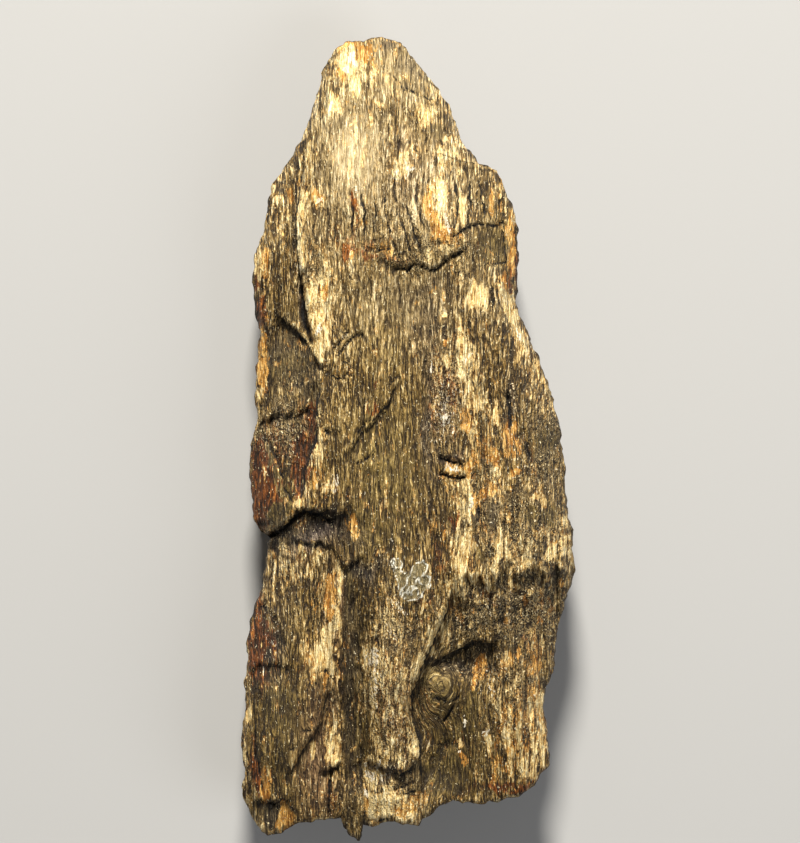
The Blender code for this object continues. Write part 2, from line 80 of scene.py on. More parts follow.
RIGHT_EDGE = [
    (549, 763), (548, 748), (547, 732), (541, 710), (544, 695), (553, 667), (553, 650), (560, 615),
    (571, 584), (574, 568), (571, 548), (573, 534), (572, 526), (566, 518), (567, 504), (563, 477),
    (564, 468), (558, 420), (549, 389), (541, 366), (530, 340), (519, 316), (516, 302), (518, 268),
    (517, 224), (514, 212), (502, 184), (497, 172), (488, 166), (479, 165), (472, 154), (464, 149),
    (457, 125), (449, 108), (439, 89), (419, 65),
]
TIP_EDGE = [
    (329, 62), (333, 53), (335, 49), (342, 44), (346, 41), (360, 41), (372, 38), (382, 36), (395, 40),
    (402, 44), (410, 55), (419, 65),
]

# Lines that run along the stone, as (picture x, share of the crest height) at each picture y:
# left ridge, left middle, crest, right middle and right shoulder
GUIDE_ROWS = [
    (40, (350, 0.42), (362, 0.47), (374, 0.49), (384, 0.47), (392, 0.42)),
    (100, (322, 0.55), (350, 0.64), (385, 0.69), (410, 0.67), (432, 0.56)),
    (160, (308, 0.64), (345, 0.72), (395, 0.79), (435, 0.78), (462, 0.65)),
    (240, (298, 0.72), (345, 0.80), (400, 0.88), (448, 0.90), (484, 0.76)),
    (300, (307, 0.75), (345, 0.81), (400, 0.86), (452, 0.88), (495, 0.78)),
    (370, (324, 0.82), (352, 0.86), (402, 0.89), (455, 0.91), (512, 0.80)),
    (440, (316, 0.80), (350, 0.86), (402, 0.91), (458, 0.94), (525, 0.81)),
    (510, (303, 0.78), (348, 0.86), (402, 0.94), (460, 0.97), (530, 0.85)),
    (570, (298, 0.69), (350, 0.80), (400, 0.96), (462, 0.98), (530, 0.87)),
    (620, (298, 0.71), (352, 0.78), (395, 0.97), (450, 0.92), (520, 0.80)),
    (680, (298, 0.74), (354, 0.72), (388, 0.95), (440, 0.82), (515, 0.78)),
    (740, (290, 0.72), (354, 0.66), (388, 0.90), (445, 0.74), (518, 0.73)),
    (800, (290, 0.67), (354, 0.61), (388, 0.84), (445, 0.69), (520, 0.69)),
    (839, (292, 0.60), (357, 0.55), (388, 0.79), (440, 0.64), (515, 0.64)),
]

# How high the left and the right edge stand at each picture y, as shares of the crest height
EDGE_ROWS = [
    (40, 0.36, 0.36), (160, 0.44, 0.50), (260, 0.50, 0.54), (340, 0.46, 0.52), (440, 0.44, 0.54),
    (540, 0.46, 0.56), (600, 0.44, 0.54), (700, 0.52, 0.58), (780, 0.50, 0.57), (839, 0.46, 0.52),
]

# Ledges, with the high side on the left of each line's direction: drop, reach over the high side and
# over the low side, width of the step, all in millimetres, how splintered it is from 0 to 1, and then
# the line's picture points
LEDGES = {
    "cap": (0.9, 6, 7, 1.0, 0.3, [
        (370, 258), (380, 261), (390, 266), (402, 267), (414, 265), (426, 269), (434, 271), (441, 266),
        (450, 258), (462, 252), (474, 244),
    ]),
    "cap_right": (0.9, 5, 6, 1.2, 0.3, [(446, 240), (455, 238), (465, 231), (477, 226), (490, 227), (506, 224)]),
    "left_ridge": (2.6, 5, 6, 0.9, 0.3, [
        (312, 140), (303, 180), (298, 220), (298, 250), (303, 280), (307, 310), (312, 335), (320, 358),
    ]),
    "left_flank": (1.7, 5, 9, 0.7, 0.1, [
        (272, 316), (284, 320), (296, 332), (308, 345), (320, 360), (328, 376),
    ]),
    "flank_edge": (1.4, 4, 6, 1.8, 0.6, [(256, 420), (280, 420), (300, 414), (314, 404)]),
    "middle_ridge": (2.4, 4, 5, 1.4, 0.5, [
        (326, 378), (320, 410), (317, 445), (308, 470), (306, 485), (306, 505),
    ]),
    "overhang": (1.8, 6, 7, 0.8, 0.35, [
        (260, 537), (272, 534), (284, 528), (296, 515), (304, 507), (318, 510), (333, 515), (343, 512),
        (350, 500),
    ]),
    "overhang_foot": (1.2, 4, 5, 0.9, 0.2, [
        (288, 533), (297, 540), (310, 541), (319, 540), (326, 544), (334, 546), (339, 554), (342, 563),
        (347, 567), (353, 562), (360, 556), (370, 553),
    ]),
    "diagonal": (1.3, 4, 5, 0.8, 0.35, [
        (350, 462), (352, 452), (362, 432), (376, 420), (386, 410), (392, 396), (400, 374),
    ]),
    "left_block": (1.4, 5, 8, 1.8, 0.4, [(253, 598), (268, 606), (280, 626), (290, 652)]),
    "left_block_foot": (1.2, 4, 5, 1.8, 0.6, [(248, 668), (268, 664), (285, 668), (296, 664)]),
    "low_block": (1.6, 5, 5, 1.4, 0.3, [
        (286, 778), (298, 756), (308, 738), (322, 720), (326, 697), (334, 682),
    ]),
    "cream_tongue": (1.4, 3, 4, 0.7, 0.1, [(318, 772), (330, 767), (342, 760)]),
    "corner_step": (1.2, 4, 5, 0.7, 0.1, [(250, 800), (260, 799), (280, 800), (292, 796)]),
    "channel": (2.0, 3, 6, 2.2, 0.3, [
        (356, 800), (360, 740), (358, 680), (356, 640), (362, 600),
    ]),
    "ridge_end": (1.5, 5, 5, 0.9, 0.3, [
        (366, 750), (374, 760), (388, 766), (400, 769), (409, 763), (416, 752), (420, 740),
    ]),
    "gully": (4.2, 5, 9, 1.8, 0.25, [
        (422, 800), (418, 745), (410, 710), (410, 690), (418, 664), (430, 640), (442, 612), (450, 590),
        (458, 580),
    ]),
    "tongue": (1.8, 5, 7, 0.9, 0.3, [
        (424, 664), (436, 655), (450, 650), (464, 643), (474, 638), (488, 637), (502, 636),
    ]),
    "shoulder": (2.2, 6, 8, 2.4, 1.0, [
        (452, 590), (462, 578), (474, 588), (484, 572), (494, 580), (506, 564), (518, 576), (530, 562),
        (542, 574), (554, 560), (566, 568), (578, 560),
    ]),
    "right_stripe": (1.2, 4, 5, 1.0, 0.3, [(502, 200), (505, 240), (506, 290)]),
}

# Cracks and grooves: depth and half width in millimetres, then the line's picture points
CRACKS = {
    "left_crack": (2.4, 0.8, [(303, 268), (303, 290), (304, 312), (309, 335), (315, 350)]),
    "cap_crack": (1.0, 0.3, [
        (388, 278), (393, 274), (398, 271), (408, 273), (414, 266), (426, 270), (434, 272), (441, 267),
        (448, 260), (456, 258), (464, 253), (467, 247),
    ]),
    "blue_groove": (1.0, 1.6, [(428, 372), (428, 410), (427, 440), (428, 500), (430, 560)]),
    "right_groove": (1.2, 1.6, [(506, 388), (508, 415), (514, 432), (522, 440), (529, 465)]),
    "tongue_crease": (0.6, 0.6, [(500, 590), (498, 604), (500, 624)]),
    "dark_channel": (1.8, 2.4, [(350, 575), (349, 640), (351, 700), (354, 800)]),
    "gully_foot": (1.0, 1.2, [(454, 736), (440, 748), (432, 765), (424, 780), (421, 805)]),
    "overhang_gap": (1.8, 0.45, [
        (258, 539), (272, 536), (284, 530), (294, 519), (304, 511), (318, 513), (330, 519), (340, 516),
    ]),
    "slot_top": (2.0, 0.45, [(435, 458), (444, 459), (454, 461), (464, 465)]),
    "slot_foot": (2.0, 0.45, [(436, 471), (446, 475), (456, 478), (466, 476)]),
    "tongue_foot": (0.9, 0.5, [(436, 657), (450, 652), (464, 645), (474, 640), (488, 639)]),
}

# Round lumps and hollows: picture x and y, radii in millimetres across and along, height
LUMPS = {
    "knot": (440, 683, 4.4, 6.0, 3.0),
    "cap_lobe": (452, 222, 7.0, 9.0, 1.6),
    "rust_hollow": (364, 242, 5.5, 5.5, -1.6),
    "olive_hollow": (494, 246, 4.0, 5.0, -1.4),
    "flank_facet": (292, 372, 5.0, 9.0, -1.8),
    "crystal_hollow": (282, 440, 5.5, 6.0, -1.4),
    "recess": (316, 528, 6.5, 3.4, -1.0),
    "round_block": (290, 725, 7.0, 12.0, 1.5),
    "rough_tongue": (474, 612, 5.0, 6.0, 1.2),
    "gully_hollow": (470, 664, 5.0, 4.0, -1.8),
    "glassy_crust": (410, 576, 4.4, 4.4, 0.9),
    "right_foot": (523, 715, 5.0, 12.0, 1.2),
    "pink_plate": (318, 755, 3.6, 11.0, -0.9),
}

# Hairline cracks, only in this mesh: depth and half width in millimetres, then picture points
HAIRLINES = [
    (1.0, 0.30, [(376, 452), (368, 457), (362, 461), (356, 463)]),
    (1.1, 0.35, [(332, 351), (339, 346), (345, 338), (351, 331)]),
    (1.2, 0.35, [(335, 361), (341, 353), (348, 345), (354, 338), (362, 336), (367, 342)]),
    (0.9, 0.30, [(343, 362), (350, 366), (357, 370)]),
    (1.0, 0.35, [(329, 374), (337, 379), (344, 378), (348, 375), (354, 379)]),
    (0.8, 0.30, [(324, 429), (330, 434), (339, 433)]),
    (0.9, 0.30, [(399, 376), (392, 382), (388, 389)]),
    (1.0, 0.30, [(394, 400), (387, 406), (380, 412), (376, 419), (368, 421), (360, 430), (356, 439)]),
    (1.2, 0.45, [(262, 428), (270, 444), (278, 458), (283, 472), (285, 486), (291, 498), (300, 508)]),
    (0.9, 0.30, [(300, 729), (307, 727), (314, 725)]),
    (0.8, 0.30, [(288, 744), (297, 746), (306, 748)]),
    (0.8, 0.30, [(307, 682), (315, 680), (320, 681)]),
    (0.9, 0.30, [(322, 672), (322, 668), (328, 668), (331, 674), (338, 677)]),
    (0.8, 0.30, [(329, 674), (329, 683), (324, 685)]),
    (1.2, 0.35, [(329, 816), (329, 795), (330, 778), (331, 768), (337, 766), (339, 761)]),
    (0.9, 0.35, [(256, 705), (256, 730), (257, 755), (262, 782), (263, 798)]),
    (1.0, 0.30, [(260, 799), (270, 800), (280, 801)]),
    (0.9, 0.30, [(430, 690), (436, 695), (446, 698), (454, 697), (461, 690)]),
    (0.9, 0.35, [(452, 700), (448, 711), (441, 720)]),
    (0.7, 0.30, [(395, 787), (406, 788), (418, 785)]),
    (0.7, 0.40, [(384, 778), (396, 783), (414, 778)]),
    (0.8, 0.30, [(482, 266), (495, 265), (508, 263)]),
    (0.9, 0.30, [(446, 240), (455, 238), (465, 231), (477, 226), (490, 227), (506, 224)]),
    (0.9, 0.30, [(358, 249), (372, 253), (384, 252), (396, 249)]),
    (0.6, 0.30, [(385, 72), (396, 84), (405, 92), (416, 97), (440, 105)]),
    (0.8, 0.45, [(524, 440), (527, 452), (531, 466)]),
    (0.8, 0.40, [(491, 286), (491, 298), (493, 310)]),
    (1.0, 0.35, [(506, 390), (507, 408), (509, 436)]),
    (0.8, 0.35, [(353, 240), (354, 215), (351, 190)]),
    (0.9, 0.30, [(364, 242), (365, 215), (361, 190)]),
    (0.8, 0.30, [(374, 238), (376, 218), (373, 200)]),
    (0.7, 0.30, [(384, 185), (386, 220), (394, 248), (404, 264)]),
    (0.7, 0.30, [(393, 178), (397, 212), (407, 245), (416, 262)]),
    (0.8, 0.30, [(404, 185), (408, 216), (416, 242), (424, 258)]),
    (0.7, 0.30, [(415, 185), (418, 212), (425, 236)]),
    (0.8, 0.35, [(455, 180), (457, 210), (453, 238)]),
    (0.8, 0.30, [(467, 178), (470, 208), (466, 232)]),
    (0.9, 0.35, [(479, 176), (480, 200), (485, 222)]),
    (0.7, 0.30, [(474, 505), (478, 515), (475, 524)]),
    (0.9, 0.30, [(388, 762), (396, 767), (402, 769), (409, 764), (415, 757)]),
    (0.9, 0.35, [(362, 818), (380, 815), (396, 812)]),
]

# Colour patches on the front: picture x and y, radii in picture points, strength
PATCHES = {
    "cream": [
        (355, 66, 22, 22, 0.80), (352, 62, 9, 9, 1.0), (356, 84, 7, 16, 0.8), (392, 84, 24, 8, 0.55),
        (430, 102, 14, 8, 0.6), (334, 110, 8, 8, 0.9), (427, 115, 8, 8, 0.8), (402, 168, 9, 9, 0.8),
        (320, 203, 9, 9, 1.0), (448, 154, 16, 14, 0.6), (441, 208, 9, 34, 0.75), (462, 214, 8, 26, 0.5),
        (304, 200, 6, 30, 0.6), (302, 250, 5, 34, 0.6), (304, 268, 6, 14, 1.0), (318, 305, 13, 44, 1.0),
        (316, 342, 9, 14, 0.9), (276, 200, 8, 26, 0.55), (258, 262, 7, 20, 0.75), (476, 298, 10, 13, 0.85),
        (506, 300, 7, 16, 0.7), (520, 335, 7, 16, 0.9), (532, 362, 7, 18, 0.65), (546, 395, 6, 20, 0.6),
        (559, 440, 5, 24, 0.5), (565, 500, 5, 24, 0.45), (462, 362, 12, 26, 1.0), (474, 400, 12, 11, 0.9),
        (436, 400, 6, 14, 0.45), (437, 372, 5, 10, 0.5), (491, 420, 7, 26, 0.5), (470, 440, 6, 26, 0.6),
        (467, 500, 7, 36, 0.9), (463, 545, 9, 40, 0.95), (492, 470, 9, 26, 0.5), (508, 552, 16, 14, 0.85),
        (530, 540, 22, 16, 0.55), (490, 560, 16, 12, 0.8), (560, 540, 9, 22, 0.6), (464, 580, 12, 14, 0.85),
        (338, 480, 5, 16, 0.7), (322, 440, 6, 40, 0.5), (306, 490, 6, 20, 0.5), (380, 550, 8, 6, 0.5),
        (290, 565, 22, 20, 0.50), (301, 548, 5, 8, 0.8), (339, 620, 4, 50, 0.65), (321, 655, 15, 17, 1.0),
        (368, 658, 13, 15, 0.95), (372, 700, 8, 34, 0.65), (396, 627, 18, 12, 0.7), (402, 608, 10, 5, 0.8),
        (370, 766, 13, 14, 0.95), (392, 806, 26, 14, 0.75), (444, 618, 7, 26, 0.75), (428, 650, 7, 20, 0.75),
        (414, 690, 5, 34, 0.6), (333, 740, 8, 30, 0.7), (395, 700, 16, 50, 0.45), (512, 725, 12, 48, 0.45),
        (536, 728, 8, 44, 0.6), (524, 760, 20, 14, 0.7), (270, 832, 5, 5, 0.8), (244, 745, 4, 60, 0.55),
        (486, 722, 4, 18, 0.5), (402, 758, 14, 8, 0.5), (566, 580, 7, 18, 0.5), (404, 150, 24, 14, 0.3),
        (362, 150, 22, 50, 0.28), (420, 60, 8, 12, 0.3), (500, 690, 5, 30, 0.45), (380, 470, 10, 60, 0.12),
    ],
    "orange": [
        (362, 58, 22, 18, 0.75), (352, 88, 10, 14, 0.6), (430, 205, 5, 14, 0.8), (437, 232, 7, 24, 1.0),
        (450, 244, 13, 9, 0.9), (386, 246, 14, 10, 0.7), (366, 215, 8, 24, 0.35), (512, 250, 5, 40, 0.8),
        (498, 205, 6, 30, 0.4), (265, 265, 4, 12, 0.7), (262, 365, 8, 34, 1.0), (323, 385, 4, 22, 0.5),
        (480, 294, 8, 14, 0.5), (510, 300, 4, 20, 0.5), (465, 425, 6, 15, 1.0), (489, 455, 12, 17, 0.95),
        (492, 488, 10, 12, 0.9), (507, 432, 7, 20, 0.8), (518, 447, 6, 10, 0.6), (442, 332, 6, 14, 0.4),
        (474, 450, 6, 30, 0.5), (322, 655, 14, 18, 0.95), (334, 610, 5, 44, 0.4), (479, 668, 6, 16, 0.95),
        (473, 678, 4, 12, 0.7), (506, 656, 6, 9, 0.8), (537, 660, 8, 22, 0.85), (536, 715, 10, 50, 0.95),
        (398, 803, 26, 12, 1.0), (264, 788, 5, 16, 1.0), (286, 816, 8, 15, 0.8), (352, 522, 8, 10, 0.7),
        (462, 760, 5, 4, 0.9), (455, 596, 12, 14, 0.65), (520, 560, 26, 14, 0.35), (400, 690, 14, 60, 0.4),
        (318, 600, 5, 30, 0.3), (450, 470, 16, 6, 0.6), (545, 600, 8, 16, 0.45), (300, 206, 5, 20, 0.4),
        (285, 240, 6, 20, 0.3), (460, 520, 30, 50, 0.3), (500, 520, 24, 40, 0.3), (514, 735, 22, 46, 0.9),
        (510, 660, 20, 14, 0.45), (350, 280, 30, 30, 0.2), (440, 300, 40, 30, 0.15),
    ],
    "rust": [
        (372, 240, 30, 13, 0.4), (370, 252, 18, 6, 0.8), (305, 312, 4, 24, 1.0), (514, 245, 4, 36, 0.5),
        (256, 312, 7, 24, 0.8), (264, 478, 17, 46, 1.0), (256, 510, 8, 20, 0.9), (303, 462, 14, 40, 0.75),
        (313, 425, 7, 24, 0.8), (258, 640, 13, 34, 1.0), (374, 409, 4, 6, 0.9), (451, 522, 7, 9, 0.5),
        (443, 555, 12, 16, 0.45), (256, 772, 4, 26, 0.9), (330, 790, 6, 24, 0.5), (540, 772, 20, 10, 0.7),
        (505, 790, 30, 6, 0.8), (455, 345, 5, 20, 0.5), (444, 395, 16, 40, 0.55), (355, 212, 4, 22, 0.4),
        (390, 255, 14, 6, 0.6), (394, 700, 24, 56, 0.6), (530, 450, 8, 20, 0.3), (550, 410, 12, 24, 0.35),
        (530, 710, 34, 70, 0.45), (430, 600, 16, 40, 0.35), (476, 515, 40, 24, 0.3), (500, 590, 44, 14, 0.4),
        (384, 640, 30, 30, 0.3), (468, 745, 12, 30, 0.2),
    ],
    # Slate patches give a cool grey: partly the stone's own grey, partly painted shade below the cap ledge, the ridge
    # end and the tongue and in the recess under the overhang.
    "slate": [
        (428, 420, 5, 50, 0.8), (428, 330, 14, 40, 0.4), (425, 290, 30, 12, 0.35), (316, 528, 30, 14, 1.25),
        (284, 430, 26, 20, 0.4), (351, 690, 8, 110, 0.5), (508, 412, 5, 24, 0.7), (365, 564, 16, 10, 0.9),
        (285, 352, 20, 18, 0.5), (274, 642, 12, 22, 0.6), (462, 662, 30, 12, 0.6), (495, 605, 30, 26, 0.1),
        (388, 772, 16, 7, 0.9), (410, 760, 8, 12, 0.4), (390, 50, 10, 8, 0.5), (410, 66, 10, 10, 0.4),
        (472, 512, 5, 8, 0.7), (490, 511, 6, 11, 0.7), (448, 463, 11, 4, 0.7), (303, 300, 3, 30, 0.6),
        (262, 330, 10, 14, 0.5), (400, 640, 16, 8, 0.3), (398, 148, 8, 6, 0.4), (300, 380, 22, 20, 0.35),
        (270, 816, 9, 14, 0.6),
    ],
    "smooth": [
        (385, 470, 42, 82, 1.0), (370, 520, 34, 40, 1.0), (294, 366, 26, 44, 1.0), (353, 690, 12, 120, 1.0),
        (290, 730, 34, 66, 1.0), (458, 745, 30, 50, 1.0), (320, 775, 14, 50, 0.7), (390, 310, 50, 36, 0.6),
        (495, 246, 16, 24, 0.9), (316, 527, 26, 14, 0.8), (355, 150, 28, 50, 1.0), (405, 75, 30, 32, 0.8), (270, 816, 9, 14, 1.0),
        (390, 350, 30, 34, 0.7), (266, 480, 12, 40, 0.5), (440, 688, 24, 36, 1.0), (290, 620, 24, 30, 0.5),
        (445, 640, 16, 12, 0.6),
    ],
    "rough": [
        (445, 395, 14, 46, 0.9), (525, 605, 46, 36, 1.0), (474, 612, 28, 26, 1.0), (284, 430, 28, 22, 0.9),
        (520, 530, 44, 40, 0.9), (544, 440, 20, 60, 0.7), (395, 690, 26, 70, 0.6), (398, 628, 22, 16, 0.8),
        (276, 524, 20, 12, 0.7), (480, 500, 26, 40, 0.7), (392, 800, 28, 20, 0.7), (520, 680, 36, 40, 0.6),
        (430, 255, 44, 14, 0.9), (316, 305, 10, 46, 0.7), (400, 225, 60, 34, 0.4), (355, 62, 24, 20, 0.4),
    ],
    "pink": [
        (341, 600, 3, 40, 0.9),         (316, 755, 16, 56, 0.9), (334, 610, 8, 50, 0.6), (301, 545, 10, 14, 0.6), (450, 464, 10, 3, 1.0),
        (445, 395, 14, 34, 0.6), (330, 700, 8, 18, 0.7), (312, 530, 26, 10, 0.3), (410, 180, 20, 30, 0.3),
    ],
    "white": [
        (338, 480, 3, 12, 0.5), (372, 652, 9, 12, 0.6), (376, 690, 6, 20, 0.5), (369, 762, 9, 9, 0.6),
        (384, 772, 8, 4, 0.6), (402, 608, 9, 4, 0.8), (394, 630, 8, 5, 0.6), (443, 415, 12, 30, 0.45),
        (456, 606, 3, 8, 0.5), (440, 200, 8, 20, 0.35), (400, 172, 8, 12, 0.4), (390, 560, 8, 6, 0.5),
        (520, 460, 20, 60, 0.2), (500, 600, 40, 30, 0.25), (284, 430, 24, 14, 0.3), (300, 262, 4, 16, 0.4),
        (396, 720, 14, 40, 0.25), (530, 340, 6, 20, 0.3), (272, 625, 8, 20, 0.35), (490, 690, 8, 30, 0.35),
    ],
    # Dark patches lower the tone: partly the stone's darker places, partly painted shade under ledges, in the recess
    # and on slopes that face away from the key light.
    "dark": [
        (262, 668, 24, 44, 0.9), (292, 700, 30, 60, 0.7), (455, 722, 26, 50, 0.7), (265, 490, 16, 50, 0.6),
        (325, 515, 24, 24, 0.7), (360, 590, 20, 36, 0.8), (424, 470, 26, 90, 0.5), (375, 530, 60, 50, 0.35), (500, 380, 30, 60, 0.3), (540, 440, 22, 50, 1.1), (530, 385, 14, 30, 0.5), (505, 500, 60, 60, 0.25),
        (524, 606, 56, 34, 1.1), (470, 604, 22, 34, 0.9), (278, 300, 22, 34, 0.4), (288, 362, 20, 26, 0.5), (285, 440, 40, 40, 0.9),
        (280, 780, 30, 30, 0.6), (480, 645, 50, 20, 0.7), (300, 610, 44, 34, 0.3), (392, 620, 34, 44, 0.3), (500, 205, 16, 34, 0.5), (524, 720, 30, 60, 0.35), (351, 690, 10, 120, 0.9),
        (500, 246, 18, 20, 0.4), (320, 800, 24, 20, 0.4), (450, 784, 30, 26, 0.9), (478, 510, 30, 20, 0.4),
        (440, 545, 16, 30, 0.5), (400, 262, 34, 8, 0.2), (250, 320, 10, 26, 0.5), (480, 790, 50, 10, 0.4),
    ],
    # Light patches raise the tone and make it paler: partly the stone's paler places, partly painted light on the
    # upper parts that face the key light.
    "light": [
        (358, 155, 32, 58, 1.3), (395, 80, 60, 50, 0.7), (400, 300, 70, 30, 0.5), (430, 180, 50, 60, 0.8),
        (480, 300, 40, 30, 0.4), (300, 570, 30, 20, 0.2), (392, 794, 30, 20, 0.3), (330, 250, 30, 50, 0.5),
        (400, 225, 40, 24, 0.4),
    ],
}

